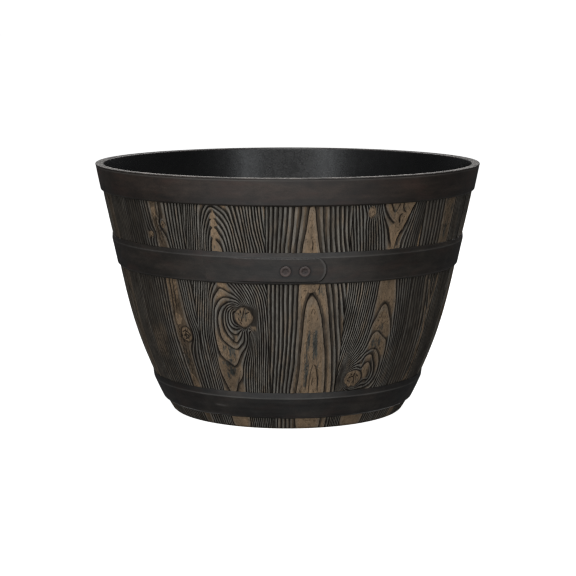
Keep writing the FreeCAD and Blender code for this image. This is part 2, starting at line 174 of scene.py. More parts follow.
GRAIN[14] = dict(
    guides=[
        ([(336, 17), (240, 16), (190, 14.4), (130, 13.2), (0, 12.6)], [(336, -33.5), (240, -35.6), (190, -36.0), (130, -36.4), (0, -36.9)]),
        ([(336, 13), (292, 13), (248, 12.4), (190, 11.2), (130, 10.0), (60, 9.6), (0, 9.6)], [(336, -30.2), (292, -30.7), (248, -31.5), (190, -32.9), (130, -34.8), (60, -34.3), (0, -34.3)]),
        ([(336, 10), (292, 10), (248, 9.7), (190, 8.9), (130, 8.0), (60, 7.6), (0, 7.6)], [(336, -28.0), (292, -28.7), (248, -29.4), (190, -30.8), (130, -32.75), (60, -32.2), (0, -32.0)]),
        ([(320, 8), (248, 7.9), (190, 7.3), (130, 6.7), (60, 6.3), (0, 6.3)], [(320, -25.6), (292, -27.2), (248, -28.0), (190, -29.4), (130, -31.4), (60, -30.9), (0, -30.7)]),
        (5.2, [(130, -30.1), (60, -29.5), (0, -29.2)]),
        (18, [(336, -7.4), (292, -6.9), (270, -6.5), (248, -5.5), (192, -2.6), (150, -2.2), (110, -3.5), (60, -3.4), (0, -3.6)]),
    ],
    lines=[
        ([1.5, 1.2, 1.3, 1.4], [(-22.3, 250), (-22.2, 235), (-21.9, 215), (-21.7, 200)]),
        ([7.0, 8.0], [(-22.5, 305), (-21.8, 320)]),
        (2, [(-26.2, 0), (-26.4, 30), (-26.7, 60), (-27.2, 90), (-27.4, 130), (-26.9, 150), (-26.66, 160), (-26.4, 168), (-26.1, 176.4), (-25.6, 182.9), (-25.1, 188.6), (-24.4, 194.3), (-23.55, 200), (-23.8, 212), (-23.9, 230), (-23.55, 246), (-23.38, 252), (-23.1, 256.5), (-22.4, 258.6), (-21.83, 256.3), (-20.97, 252), (-20.1, 245), (-19.9, 236), (-19.6, 215), (-19.2, 199), (-18.2, 194.3), (-17.2, 189.3), (-16.3, 185), (-15.4, 180.7), (-14.8, 176.4), (-14.3, 172.9), (-14, 169.5)]),
        (2, [(-12.75, 130), (-13.3, 118), (-13.9, 110), (-14.7, 101), (-15.4, 92), (-15.9, 82), (-16.2, 74), (-16.5, 66), (-16.7, 55), (-17, 0)]),
        (3, [(-27, 0), (-27.4, 60), (-28.1, 130), (-27.4, 150), (-27.2, 160), (-26.9, 171.4), (-26.6, 180.7), (-26.05, 187.9), (-25.45, 194), (-24.6, 200), (-24.9, 222), (-24.6, 245), (-24.33, 252), (-24.07, 257.7), (-23.55, 265.6), (-23.03, 271.3), (-22.43, 273.2), (-21.48, 271.3), (-20.8, 264.9), (-19.76, 258.4), (-19.24, 252), (-18.9, 245), (-18.6, 225), (-18.4, 200), (-17.3, 195.7), (-16.3, 190.7), (-15.3, 185), (-14.4, 180), (-13.9, 175.7), (-13.6, 171.4)]),
        (4, [(-27.8, 0), (-28.1, 60), (-28.75, 130), (-26.6, 190), (-25.9, 220), (-25.27, 245), (-24.93, 259), (-24.4, 268.4), (-23.72, 275.6), (-23.2, 281.3), (-22.34, 283.4), (-21.65, 281), (-20.62, 276.3), (-19.76, 271.3), (-19.07, 265.6), (-18.55, 259.1), (-18.03, 245), (-17, 200), (-15.97, 194.3), (-14.9, 187.9), (-13.98, 181.4), (-13.4, 175.7), (-13.1, 170)]),
        (5, [(-25.97, 245), (-25.6, 262), (-25.1, 272), (-24.4, 280.6), (-23.55, 287), (-22.6, 292), (-22, 292.7), (-21.14, 288.4), (-20.1, 284.1), (-19.07, 277.7), (-18.2, 269.9), (-17.69, 262), (-17, 245), (-15.97, 200), (-14.9, 194.3), (-13.9, 187.1), (-13, 180.7), (-12.5, 175), (-12.3, 169.3)]),
        (6, [(-28.0, 190), (-27.3, 220), (-26.66, 245), (-26.3, 264.9), (-25.8, 274.9), (-25.1, 283.4), (-24.4, 291.3), (-22.86, 298.4), (-20.97, 295.6), (-19.24, 289.9), (-18.2, 283.4), (-17.34, 275.6), (-16.83, 266.3), (-16.14, 245), (-14.9, 200), (-13.9, 193.6), (-12.86, 186.4), (-12.2, 180), (-11.8, 173.6), (-11.65, 168.6)]),
        (7, [(-27.34, 245), (-26.66, 266.3), (-26.14, 281.3), (-25.6, 290.6), (-24.6, 297.7), (-22.5, 304), (-20.1, 298), (-18.2, 292.7), (-17.17, 283.4), (-16.4, 273.4), (-15.88, 262), (-15.02, 245), (-13.9, 200), (-12.86, 193.6), (-12, 187.1), (-11.3, 180.7), (-11.05, 175), (-11.05, 167.9)]),
        (8, [(-20, 320), (-17, 300), (-15.6, 275), (-14.2, 248), (-12.86, 200), (-11.9, 193.6), (-11.1, 187.1), (-10.6, 180.7), (-10.36, 172.9), (-10.1, 164.3), (-10.2, 150), (-9.85, 130), (-10.1, 110), (-10.6, 85), (-11.1, 60), (-11.4, 0)]),
        (9, [(-13.3, 248), (-11.9, 200), (-10.97, 192.9), (-10.2, 185.7), (-9.76, 178.6), (-9.5, 170), (-9.24, 160), (-9.1, 130), (-10.4, 60), (-10.6, 0)]),
        (10, [(-16, 336), (-14.1, 300), (-13.2, 275), (-12.3, 248), (-10.97, 200), (-9.76, 190.7), (-9.07, 182.1), (-8.7, 171.4), (-8.47, 160), (-8.3, 130), (-9.76, 60), (-10, 0)]),
        (11, [(-11.4, 248), (-9.93, 200), (-8.9, 191.4), (-8.2, 181.4), (-7.86, 170), (-7.66, 157), (-7.4, 130), (-8.8, 60), (-9, 0)]),
        (12, [(-10.4, 248), (-9.07, 200), (-8.03, 190.7), (-7.34, 180), (-7.05, 168.6), (-6.88, 155.7), (-6.66, 130), (-7.95, 60), (-8.2, 0)]),
        (13, [(-11.8, 336), (-11.2, 292), (-10.8, 270), (-9.5, 248), (-8.1, 200), (-7.26, 191.4), (-6.66, 181.4), (-6.36, 167.9), (-6.2, 154.3), (-5.9, 130), (-6.2, 110), (-6.6, 85), (-7, 60), (-7.2, 40), (-7.3, 0)]),
        (14, [(-8.5, 248), (-7.17, 200), (-6.5, 191.4), (-5.9, 181), (-5.5, 160), (-5.1, 130), (-5.6, 90), (-6, 60), (-6.3, 0)]),
        # rings that close round the knot
        (1, [(-22.6, 46), (-24.24, 55.6), (-24.76, 60.6), (-25.3, 67), (-25.97, 73.4), (-26.4, 79.9), (-26.57, 87), (-26.66, 97.7), (-26.74, 107.7), (-26.74, 132), (-26.66, 142.9), (-26.2, 154), (-25.9, 160), (-25.6, 167), (-25.4, 173.6), (-25, 178.6), (-24.4, 182.9), (-23.55, 186.4), (-22.9, 190), (-22.1, 193.5), (-21.8, 192.9), (-20.8, 190.7), (-19.6, 187.9), (-18.2, 185.7), (-17, 182.9), (-16, 179.3), (-15.3, 175.7), (-14.8, 172.1)]),
        (1, [(-13.6, 144), (-13.3, 137.7), (-13.1, 130.6), (-13.47, 119.9), (-14.24, 111.5), (-15, 104), (-15.6, 98.4), (-16.5, 88.4), (-16.83, 79.9), (-17.2, 74.9), (-17.86, 70.6), (-18.9, 66.3), (-19.76, 63.4), (-20.3, 57.7), (-20.8, 52.7), (-22.6, 46)]),
        ([1.3, 1.2, 1.1], [(-21.6, 0), (-21.6, 20), (-21.7, 40)]),
        (0, [(-15.2, 170.5), (-15.6, 173.6), (-16.3, 177.1), (-17.3, 178.9), (-18.55, 179.6), (-19.9, 181.1), (-21, 181.1), (-21.8, 179.6), (-22.86, 176.4), (-23.55, 172.9), (-24.2, 169.3), (-24.76, 165.7), (-25.1, 160), (-25.36, 153.6), (-25.7, 142.9), (-25.97, 132.1), (-25.9, 121.4), (-25.5, 110.5), (-25.1, 104.9), (-24.4, 100.6), (-23.55, 97.7), (-22.3, 94.9), (-20.97, 90.6), (-20.1, 87.4), (-19.9, 87), (-19.4, 88.4), (-18.4, 92), (-17.86, 97), (-17.3, 102), (-16.66, 106.3), (-15.8, 110.6), (-14.76, 115.6), (-14.07, 123.4), (-13.9, 130.6), (-14.16, 137.7), (-14.4, 142)]),
        ([0.45, 0.4, 0.6], [(-22, 82), (-21.5, 72), (-21.8, 60)]),
        (-1, [(-15.8, 170.7), (-16.5, 172.5), (-17.7, 174.6), (-18.7, 175), (-19.9, 173.6), (-21, 171.4), (-22, 168.6), (-22.86, 164.3), (-23.4, 160), (-23.9, 154.3), (-24.07, 148.6), (-24, 142.9), (-23.8, 135.7), (-23.55, 128.6), (-22.86, 123.6), (-21.8, 120), (-20.8, 117.1), (-19.6, 114.3), (-18.2, 112.9), (-17.7, 113.2), (-17, 115.7), (-16.3, 118.6), (-15.6, 121.4), (-15.1, 126.4), (-14.93, 132.1), (-15, 135.7), (-15.2, 139)]),
        (-2, [(-16.2, 171), (-17.5, 172.6), (-19, 171.8), (-20.2, 169.5), (-21, 166), (-21.6, 161.5), (-21.9, 156), (-22, 150), (-21.95, 145), (-21.8, 140), (-21.2, 134), (-20.5, 129.5), (-19.5, 126), (-18.5, 122), (-18, 120.3), (-17.2, 123.5), (-16.5, 127.5), (-15.9, 132), (-15.5, 137), (-15.3, 139.5)]),
        (-3, [(-16.8, 170.6), (-18, 170.9), (-19.2, 168.8), (-20.1, 165.5), (-20.7, 161), (-20.95, 156), (-21.1, 150), (-21, 145), (-20.6, 140.5), (-19.9, 136.5), (-19, 133.5), (-18.2, 132), (-17.3, 133), (-16.5, 136), (-15.9, 139.5)]),
        (-4, [(-17.3, 169), (-18.4, 167.4), (-19.3, 164.5), (-19.9, 160.5), (-20.1, 156), (-20.2, 151), (-20, 146.5), (-19.4, 142.8), (-18.6, 140.6), (-17.8, 140), (-16.9, 140.5), (-16.3, 141.5)]),
        (-5, [(-17.7, 167), (-18.5, 164.5), (-19.05, 161), (-19.2, 156.5), (-19.2, 152), (-18.9, 148), (-18.3, 145), (-17.6, 143.6), (-16.9, 143.8)]),
        (-6, [(-17.9, 164.5), (-18.3, 161), (-18.35, 156), (-18.2, 151.5), (-17.8, 148), (-17.2, 146)]),
        (-6.6, [(-17.6, 156), (-16.6, 165), (-14.7, 168.5), (-12.8, 165), (-11.9, 157), (-12.4, 150), (-13.6, 146), (-15.4, 144), (-16.9, 148), (-17.6, 156)]),
    ],
    knots=[(-14.65, 156, 3.05, 13.0, 0.0)],
    cracks=[[(1.6, 11.9), (-0.4, 4.0), (-1.7, 1.1), (-3.1, -5.3)], [(2.6, 4.4), (6.3, 6.5)], [(-4.0, 8.6), (-4.1, 5.6)], [(-7.0, 5.0), (-6.4, 3.6)], [(-7.1, -2.0), (-6.2, -4.0)], [(-5.0, -7.0), (-3.6, -9.0)]],
    stains=[(-19.2, 124.5, 0.8, 5, 0.6), (-22.0, 91, 1.5, 4, 0.4), (-20.8, 80, 1.0, 4, 0.4), (-11.3, 139, 0.35, 2.4, 0.8)],
    greys=[(-10.6, 162, 0.9, 9, 0.9)],
    patches=[(-11.6, 141, 1.0, 3.0, 0.9)],
    fills=[[(-22.1, 294.5), (-22.8, 288), (-23.2, 283), (-22.5, 282), (-21.1, 284), (-21.5, 289)], [(-22.5, 285), (-22.9, 279), (-23.3, 274), (-22.4, 272.5), (-20.8, 274), (-21.4, 279.5)],
           [(-22.4, 274.5), (-22.8, 268), (-23.4, 261), (-22.6, 258), (-20.3, 257.5), (-20.9, 264), (-21.6, 269.5)], [(-22.4, 261), (-23.0, 255), (-23.3, 246), (-23.3, 236), (-21.0, 236), (-21.1, 246), (-21.7, 254)]],
    strokes=[(0.9, 0.75, [(-18.6, 74), (-19.3, 68), (-19.9, 62)]), (0.6, 0.6, [(-21.3, 92), (-20.2, 90)]), (0.7, 0.6, [(-23.6, 60), (-23.2, 57)])],
    washes=[(-22.1, 92.5, 2.2, 6, 0.85), (-21.3, 80, 2.0, 8, 0.7), (-20.4, 110, 1.5, 12, 0.7), (-22.8, 112, 1.5, 9, 0.42), (-22.3, 246, 0.6, 8, 0.4), (-19.2, 126, 1.2, 4, 0.45), (-14.65, 157, 2.9, 11.5, 0.44)],
    rough=[(-21.8, 108, 3.2, 16, 0.38), (-21.5, 84, 2.6, 9, 0.34), (-19.0, 130, 2.0, 8, 0.4), (-14.7, 154, 2.6, 11, 0.3)],
    tones=[(-22.2, 270, 1.6, 26, 1.12), (-21.8, 72, 4.0, 22, 0.66), (-14.65, 156, 3.5, 14.5, 0.90)],
)
GRAIN[2] = dict(
    guides=[
        (21, [(336, 9), (270, 10.6), (192, 13.6), (150, 12.5), (110, 9.5), (60, 8), (0, 8)]),
        (14, [(336, 14.5), (300, 16.0), (270, 16.6), (192, 19.5), (150, 18.2), (110, 15.6), (60, 14), (0, 14)]),
        (7, [(336, 21.5), (300, 22.9), (270, 23.9), (250, 24.4), (192, 25.1), (150, 23.6), (130, 22.8), (110, 21.4), (90, 20.4), (66, 19.0), (40, 18.8), (0, 19.0)]),
        (6.2, [(336, 49.0), (300, 46.6), (270, 44.6), (248, 44.0), (192, 44.6), (150, 45.4), (110, 45.4), (70, 45.2), (44, 44.6), (0, 44.0)]),
        (11, [(336, 54), (192, 49.4), (0, 49)]),
    ],
    lines=[
        (0, [(25.6, 336), (26.8, 312), (27.6, 300), (28.2, 292), (29.15, 281), (29.7, 272), (30.3, 262), (30.7, 252), (31.2, 241), (31.2, 220), (30.7, 200), (30.5, 180), (30, 165), (29.6, 152), (29.1, 140), (28.6, 130), (28, 120), (26.5, 107), (24.5, 98), (22.6, 90), (21.2, 80), (20.8, 68), (21.2, 57), (22.8, 48), (24, 38), (24.4, 20), (24.5, 0)]),
        (0, [(43, 336), (40.6, 300), (38.96, 271), (38.2, 263.4), (37.4, 256.3), (36.9, 249), (36.9, 241), (37.1, 220), (37.4, 200), (38, 188), (38.6, 175.5), (38.9, 160.6), (39.3, 144.7), (39.6, 127.7), (39.9, 115), (39.9, 90), (39.6, 66), (38.6, 50), (37.4, 40), (36.6, 0)]),
        (-1, [(28, 300), (28.5, 292.7), (29.3, 284), (30.3, 276.3), (31.3, 270.6), (31.85, 263.4), (32.2, 255.6), (32.6, 251), (33.8, 243), (34.9, 252), (35.1, 255.6), (35.5, 259.9), (36.5, 263.4), (37.4, 269.9), (38.4, 278.4), (39.15, 287), (40.3, 296.3)]),
        (-2, [(28.96, 300), (29.9, 291.3), (31.1, 284), (32.6, 277.7), (33.8, 274.4), (35, 276.5), (36.4, 282), (37.6, 290), (38.6, 300)]),
        (-3, [(31.3, 302), (31.85, 297), (32.8, 289), (33.3, 287), (34, 290), (34.7, 295), (35.2, 302)]),
        ([-4.5, -3.4], [(33.2, 336), (33.3, 302)]),
        ([-0.78, -0.55, -0.6, -0.85], [(33.9, 236), (34.1, 215), (34.2, 195), (34.1, 178)]),
        (-1, [(27.8, 107.4), (28.4, 116), (29, 125.5), (29.7, 136.2), (30.5, 144.7), (31.5, 152.1), (32.4, 161.7), (33.4, 169.1), (34.1, 172), (35.1, 169.1), (35.9, 162.8), (36.85, 153.2), (37.8, 145.7), (38.4, 136.2), (38.96, 127.7), (39.2, 112), (39.1, 90), (38.7, 68), (37.6, 54), (36, 46)]),
        (-2, [(27.0, 102), (28.6, 106.4), (29.3, 111.7), (30.1, 119.1), (30.7, 126.6), (31.5, 131.9), (32.8, 133.5), (34, 129.8), (35.3, 125.5), (36.5, 122.3), (37.4, 121.3), (37.9, 114.9), (38.2, 104.3), (38.1, 86), (37.7, 68), (36.6, 57), (34.6, 50.5), (31.5, 48)]),
        (-3, [(28.8, 103), (30.5, 105.5), (32.5, 108.5), (34, 106.4), (34.9, 102), (35.9, 95.7), (36.6, 87.2), (36.75, 78.7), (36.5, 70.2), (35.7, 63.8), (34.3, 58.5), (31.5, 55.3), (28.8, 54.3), (25.7, 54.8), (23.2, 57.4), (21.8, 62.8)]),
        (-4, [(28.5, 85), (28.8, 90), (29.3, 97), (30.3, 101.6), (31.5, 103), (32.4, 101), (33, 94.7), (34, 87.2), (34.7, 79.8), (35, 72.3), (34.4, 66), (33.2, 61), (31.5, 58)]),
        (-5, [(29.3, 84), (29.9, 88.3), (31.2, 92), (32.2, 89.4), (33.2, 83), (33.8, 76.6), (33.7, 71.3), (33, 66)]),
        (-6, [(31.5, 80.9), (32.2, 77.7), (32.6, 73.4), (32.2, 69.1)]),
        ([-0.6, -0.4], [(29.6, 40), (29.6, 0)]),
        (-6.4, [(25.9, 58.5), (22.8, 63.5), (22.4, 70), (23.3, 77), (26, 80.5), (28.6, 77), (29.4, 70), (28.6, 62.5), (25.9, 58.5)]),
    ],
    knots=[(25.9, 69.5, 3.6, 11.0, 0.0), (25.2, 291, 1.3, 8.0, 1.2)],
    cracks=[[(3.0, 9.0), (1.0, 3.0), (2.4, -1.5), (3.4, -7.0)], [(-6.5, 1.0), (-2.0, 2.6), (1.0, 3.0)], [(-8.0, -2.5), (-4.5, -3.5)], [(5.5, 5.0), (8.5, 2.5)], [(-3.5, 6.5), (-1.5, 5.2)]],
    stains=[(34.6, 205, 1.2, 8, 0.3)],
    greys=[(43.6, 268, 2.8, 46, 0.72), (44.0, 130, 3.4, 96, 0.6)], rim=0.45,
    fills=[[(30.1, 303), (30.4, 296), (31.0, 290), (31.9, 284), (32.7, 280), (33.6, 275), (32.2, 272.5), (31.5, 270), (32.1, 262), (32.5, 255), (33.1, 247), (33.2, 236), (34.6, 236), (34.5, 247),
            (34.9, 254), (35.6, 260), (36.8, 265.5), (37.9, 275), (38.7, 284), (39.6, 292.5), (40.1, 297), (40.6, 303)]],
    strokes=[(1.1, 0.95, [(28.7, 303), (29.7, 294.5), (30.5, 287.5), (31.3, 282.5), (32.2, 278), (33.1, 274.5)]), (1.1, 0.9, [(30.1, 277), (30.8, 270.5), (31.4, 264), (31.8, 258), (32.2, 253), (32.8, 248)]),
             (1.3, 1.0, [(41.0, 303), (40.4, 297.5), (39.7, 291.5), (38.9, 284), (38.2, 276.5), (37.4, 270), (36.6, 264.5), (35.8, 260.5), (35.2, 255), (34.9, 250)]),
             (1.3, 1.0, [(35.1, 275), (35.0, 280), (35.2, 284), (35.8, 286.5)]), (1.1, 0.9, [(31.3, 302), (32.0, 295.5), (32.6, 290.5), (33.1, 289)]), (0.9, 0.8, [(34.7, 300), (34.0, 294), (33.5, 289.5)]),
             (1.1, 0.9, [(35.9, 303), (36.0, 294), (36.3, 290), (37.2, 287.3)]), (0.7, 0.6, [(34.4, 269.6), (35.3, 268.5)]), (0.6, 0.5, [(35.0, 264), (35.6, 266)])],
    washes=[(33.2, 291, 1.0, 7, 0.5), (36.6, 294, 1.4, 5, 0.4), (35.3, 246, 1.3, 8, 0.55), (34.4, 136, 1.9, 8, 0.45), (33.0, 117, 2.0, 9, 0.55), (33.9, 196, 1.6, 5, 0.3), (24.2, 70, 1.4, 6, 0.3), (27.6, 66, 1.2, 5, 0.3)],
    rough=[(33.8, 150, 3.0, 26, 0.4), (33.6, 112, 3.0, 12, 0.45), (26.0, 69.5, 3.4, 10, 0.45), (35.4, 282, 3.0, 14, 0.3)],
    tones=[(23.5, 150, 5.0, 62, 1.28), (24, 268, 5, 40, 1.1), (25.9, 69.5, 4.0, 12.5, 0.9), (33.8, 150, 4.6, 70, 0.90), (35.2, 284, 6.0, 30, 0.92)],
)
GRAIN[13] = dict(
    guides=[
        (13, [(336, -61.5), (240, -61.0), (0, -61.5)]),
        (8, [(336, -55.4), (292, -55.2), (248, -54.4), (192, -54.0), (130, -53.8), (58, -52.4), (0, -52.4)]),
        (1, [(300, -47.2), (270, -46.3), (245, -45.5), (190, -44.9), (150, -44.8), (104, -44.4), (83, -43.9), (40, -43.2), (0, -43.2)]),
        (0, [(336, -46.2), (300, -45.8), (290, -45.6), (280, -45.3), (270, -45), (262, -44.6), (255, -44.4), (245, -44.2), (220, -43.9), (197, -43.6), (180, -43.6), (150, -43.4), (130, -43.3), (120, -43.2), (110, -42.7), (100, -42.4), (80, -42.2), (60, -41.9), (40, -41.8), (0, -41.8)]),
        (-0.5, [(336, -43.6), (292, -43.5), (270, -43.0), (248, -41.6), (220, -41.0), (192, -40.7), (150, -40.0), (110, -40.0), (58, -39.6), (0, -39.6)]),
        (0, [(336, -41.2), (300, -41.2), (285, -41.2), (272, -41.3), (265, -40.8), (256, -39.8), (245, -39.1), (220, -38.5), (197, -37.8), (180, -37.3), (165, -36.9), (150, -36.5), (140, -36), (134, -35.4), (126, -35.1), (118, -35.3), (112, -36.6), (106, -37.3), (90, -37.3), (60, -37.1), (40, -37), (0, -37)]),
        (1, [(336, -38.6), (290, -38.9), (245, -38), (197, -36.7), (150, -35.6), (126, -34.3), (106, -36), (60, -35.9), (0, -36)]),
        ([(336, 3), (150, 3), (106, 2.4), (0, 2.4)], [(336, -36), (290, -36.3), (245, -36.1), (197, -34.9), (150, -33.9), (126, -32.7), (106, -33.8), (60, -33.8), (0, -34)]),
        ([(336, 6), (150, 5.4), (106, 4.6), (0, 4.6)], [(336, -32.8), (290, -33), (245, -33.3), (197, -32.2), (150, -31.4), (126, -30.6), (106, -31), (60, -31), (0, -31.2)]),
        ([(336, 10), (150, 9), (106, 7.6), (0, 7.6)], [(336, -28.2), (245, -29.2), (150, -27.8), (0, -27.6)]),
    ],
    knots=[(-37.9, 126.5, 2.5, 10.5, 0.0), (-40.35, 270.6, 0.75, 5.0, 0.8), (-46.1, 257, 1.1, 4.0, 1.2)],
    cracks=[[(-6.0, 3.0), (-2.0, 5.0), (3.0, 3.0), (6.0, -1.0)], [(-5.0, -2.0), (0.0, 0.5), (4.0, -3.0)], [(-3.0, -6.0), (2.0, -5.0)]],
    stains=[(-42.0, 152, 0.7, 8, 0.5)],
    patches=[(-55, 108, 4.2, 20, 0.3), (-50.5, 124, 2.0, 12, 0.25)],
    greys=[(-54.6, 190, 7.2, 170, 0.82)],
    rough=[(-54.0, 106, 5.0, 24, 0.6), (-40.4, 108, 2.2, 46, 0.7), (-37.9, 126.5, 2.2, 9, 0.75), (-40.8, 185, 2.4, 22, 0.45), (-42.6, 268, 2.4, 24, 0.6)],
    tones=[(-40.8, 185, 2.9, 30, 0.84), (-37.9, 126.5, 2.6, 11, 0.84), (-40.6, 60, 2.4, 14, 0.85), (-55.5, 120, 6.5, 110, 1.24)],
    fills=[[(-43.1, 205), (-42.9, 190), (-42.7, 172), (-42.3, 160), (-41.8, 172), (-41.9, 190), (-42.0, 205)], [(-41.3, 205), (-41.2, 186), (-41.2, 168), (-40.8, 162), (-40.5, 172), (-40.5, 205)],
           [(-40.1, 205), (-39.9, 180), (-39.5, 166), (-38.9, 170), (-38.6, 190), (-38.6, 205)], [(-44.3, 293), (-44.4, 282), (-43.6, 280), (-42.8, 283), (-42.8, 293)],
           [(-41.2, 74), (-41.4, 60), (-41.2, 50), (-38.4, 50), (-38.3, 60), (-39.4, 68)], [(-41.9, 148), (-41.2, 138), (-39.6, 140), (-38.6, 147), (-39.6, 154), (-41.4, 154)]],
    strokes=[(0.9, 0.8, [(-41.7, 205), (-41.5, 182), (-41.7, 164), (-42.0, 150)]), (0.8, 0.75, [(-40.3, 205), (-40.2, 176), (-40.5, 158)]), (0.7, 0.6, [(-39.4, 172), (-39.2, 160), (-38.8, 152)]),
             (0.7, 0.7, [(-41.2, 118), (-41.3, 98), (-41.0, 76)]), (0.7, 0.65, [(-40.0, 112), (-39.6, 94), (-39.8, 72)]), (0.6, 0.6, [(-38.7, 108), (-38.4, 88), (-38.5, 70)]), (0.7, 0.6, [(-40.5, 66), (-40.3, 48)]),
             (0.8, 0.7, [(-42.9, 280), (-43.0, 268), (-42.6, 256), (-42.2, 244)]), (0.7, 0.65, [(-43.9, 278), (-43.6, 264), (-43.3, 250)]), (0.7, 0.65, [(-41.9, 268), (-41.4, 256), (-40.9, 246)]),
             (1.0, 1.0, [(-40.45, 269.6), (-40.2, 271.6)]), (0.8, 0.8, [(-42.2, 302), (-42.3, 292), (-42.0, 280)])],
    washes=[(-40.0, 96, 1.8, 22, 0.5), (-40.4, 144, 1.4, 8, 0.3), (-37.6, 124, 1.6, 5, 0.4)],
)
D3 = [(336, -0.6), (240, -0.5), (222, -0.9), (210, -1.5), (190, -2.5), (170, -2.0), (150, -1.5), (128, -2.0), (108, -1.5), (90, -1.0), (70, -1.6), (50, -1.0), (0, -0.5)]
GRAIN[3] = dict(
    guides=[
        (9, [(336, 40), (200, 41), (0, 41)]),
        (5, [(336, 46.2), (248, 47.0), (192, 46.6), (110, 47.5), (0, 46.5)]),
        (1, [(336, 53.0), (270, 53.2), (248, 53.4), (220, 52.6), (192, 51.6), (170, 52.4), (130, 53.8), (90, 54.2), (0, 53.2)]),
        (0, [(336, 54.4), (270, 54.7), (248, 54.9), (220, 54.4), (192, 53.8), (170, 54.6), (130, 55.6), (90, 56.0), (0, 55.0)]),
        (D3, [(336, 57.8), (248, 58.0), (200, 57.2), (150, 57.6), (100, 58.0), (50, 57.4), (0, 57.0)]),
        (0, [(336, 61.4), (270, 61.3), (248, 61.2), (220, 61.0), (192, 60.8), (150, 60.4), (100, 60.2), (50, 60.2), (0, 59.6)]),
        (4, [(336, 65.6), (248, 65.6), (150, 65.0), (0, 64.5)]),
        (10, [(336, 72.0), (150, 72.0), (0, 72.0)]),
    ],
    knots=[], stains=[], fade=0.62, greys=[(49.6, 116, 3.6, 88, 0.7), (65.5, 110, 4.6, 130, 0.65)],
    fills=[[(54.0, 193), (55.1, 193), (56.7, 172), (58.1, 158), (57.3, 157), (55.6, 170)], [(59.5, 196), (60.8, 196), (59.7, 174), (58.5, 158), (57.9, 160), (58.8, 176)],
           [(55.0, 157), (55.9, 157), (58.3, 122), (58.0, 108), (58.5, 88), (58.7, 70), (56.6, 54), (55.4, 54), (57.5, 70), (57.2, 88), (56.7, 109), (57.2, 122)]],
    rough=[(57.8, 280, 3.0, 44, 0.45), (57.6, 160, 3.0, 70, 0.4), (57.6, 70, 2.6, 30, 0.4)],
    washes=[(57.6, 258, 1.7, 15, 0.62), (59.4, 286, 1.2, 9, 0.6), (56.4, 298, 2.2, 6, 0.6)], tones=[(58.0, 105, 15.0, 92, 1.10)],
)
D12 = [(336, -2.0), (292, -1.0), (262, -0.5), (200, -0.6), (176, -1.0), (150, -1.5), (128, -1.0), (96, -0.5), (0, -0.4)]
GRAIN[12] = dict(
    guides=[
        (16, [(336, -85.6), (0, -86.4)]),
        (8, [(336, -78.0), (200, -77.6), (100, -78.4), (0, -78.0)]),
        (0, [(336, -75.6), (240, -74.6), (192, -76.0), (150, -76.4), (110, -74.6), (58, -73.8), (0, -73.0)]),
        (D12, [(336, -71.6), (192, -71.4), (110, -70.8), (0, -70.0)]),
        (0, [(336, -68.4), (240, -67.6), (192, -66.6), (150, -66.4), (110, -66.8), (58, -67.2), (0, -66.6)]),
        (5, [(336, -63.0), (192, -61.6), (100, -62.2), (0, -62.0)]),
        (10, [(336, -57.2), (192, -56.0), (0, -57.0)]),
    ],
    knots=[], stains=[(-71.0, 160, 1.2, 18, 0.4)], greys=[(-63.0, 170, 5.5, 180, 0.7)],
    rough=[(-70.5, 170, 5.0, 150, 0.35)], tones=[(-71.0, 110, 9.0, 76, 1.28)],
)


def start_of(i):
    return SEAM0 + ((i - 1) if i < 12 else (i - 15)) * PITCH


# the planks at the back are the same timber, turned round or end for end
LIKE = {4: (13, True, False, 12.0), 5: (1, True, True, 14.0), 6: (14, False, True, -22.0), 7: (12, True, False, -16.0),
        8: (2, True, False, 18.0), 9: (1, False, False, -24.0), 10: (3, True, True, 8.0), 11: (14, True, False, 10.0)}
# how strongly the rings of a plank stand out
CALM = {1: 1.05, 14: 1.15, 2: 0.95, 13: 0.92, 3: 0.5, 12: 0.42}
# tone of each plank, and how brown its flats are
TONE = {1: 0.97, 14: 0.96, 2: 0.87, 13: 0.86, 3: 1.12, 12: 1.36}
TAN = {1: 1.0, 14: 1.0, 2: 0.95, 13: 0.42, 3: 0.46, 12: 0.14}
# width of the dark grooves
THIN = {1: 0.74, 14: 0.86, 2: 0.62, 13: 0.85}
DX, DZ = 0.15, 1.5
MMD = 3.84


def dense(pts, gap):
    """Catmull-Rom curve through (x, y, value) points, sampled every gap."""
    p = np.asarray(pts, float)
    q = np.vstack([2 * p[0] - p[1], p, 2 * p[-1] - p[-2]])
    out = []
    for k in range(1, len(q) - 2):
        a, b, c, d = q[k - 1], q[k], q[k + 1], q[k + 2]
        L = math.hypot((c[0] - b[0]) * MMD, c[1] - b[1])
        n = max(2, int(L / gap))
        # chord-length tangents, so that uneven points make no loops
        l0, l2 = math.hypot((b[0] - a[0]) * MMD, b[1] - a[1]) + 1e-6, math.hypot((d[0] - c[0]) * MMD, d[1] - c[1]) + 1e-6
        m1 = ((b - a) / l0 * L + (c - b) / L * l0) / (l0 + L) * L
        m2 = ((c - b) / L * l2 + (d - c) / l2 * L) / (L + l2) * L
        t = (np.arange(n) / n)[:, None]
        out.append((2 * t ** 3 - 3 * t ** 2 + 1) * b + (t ** 3 - 2 * t ** 2 + t) * m1 + (-2 * t ** 3 + 3 * t ** 2) * c + (t ** 3 - t ** 2) * m2)
    out.append(p[-1:])
    return np.vstack(out)


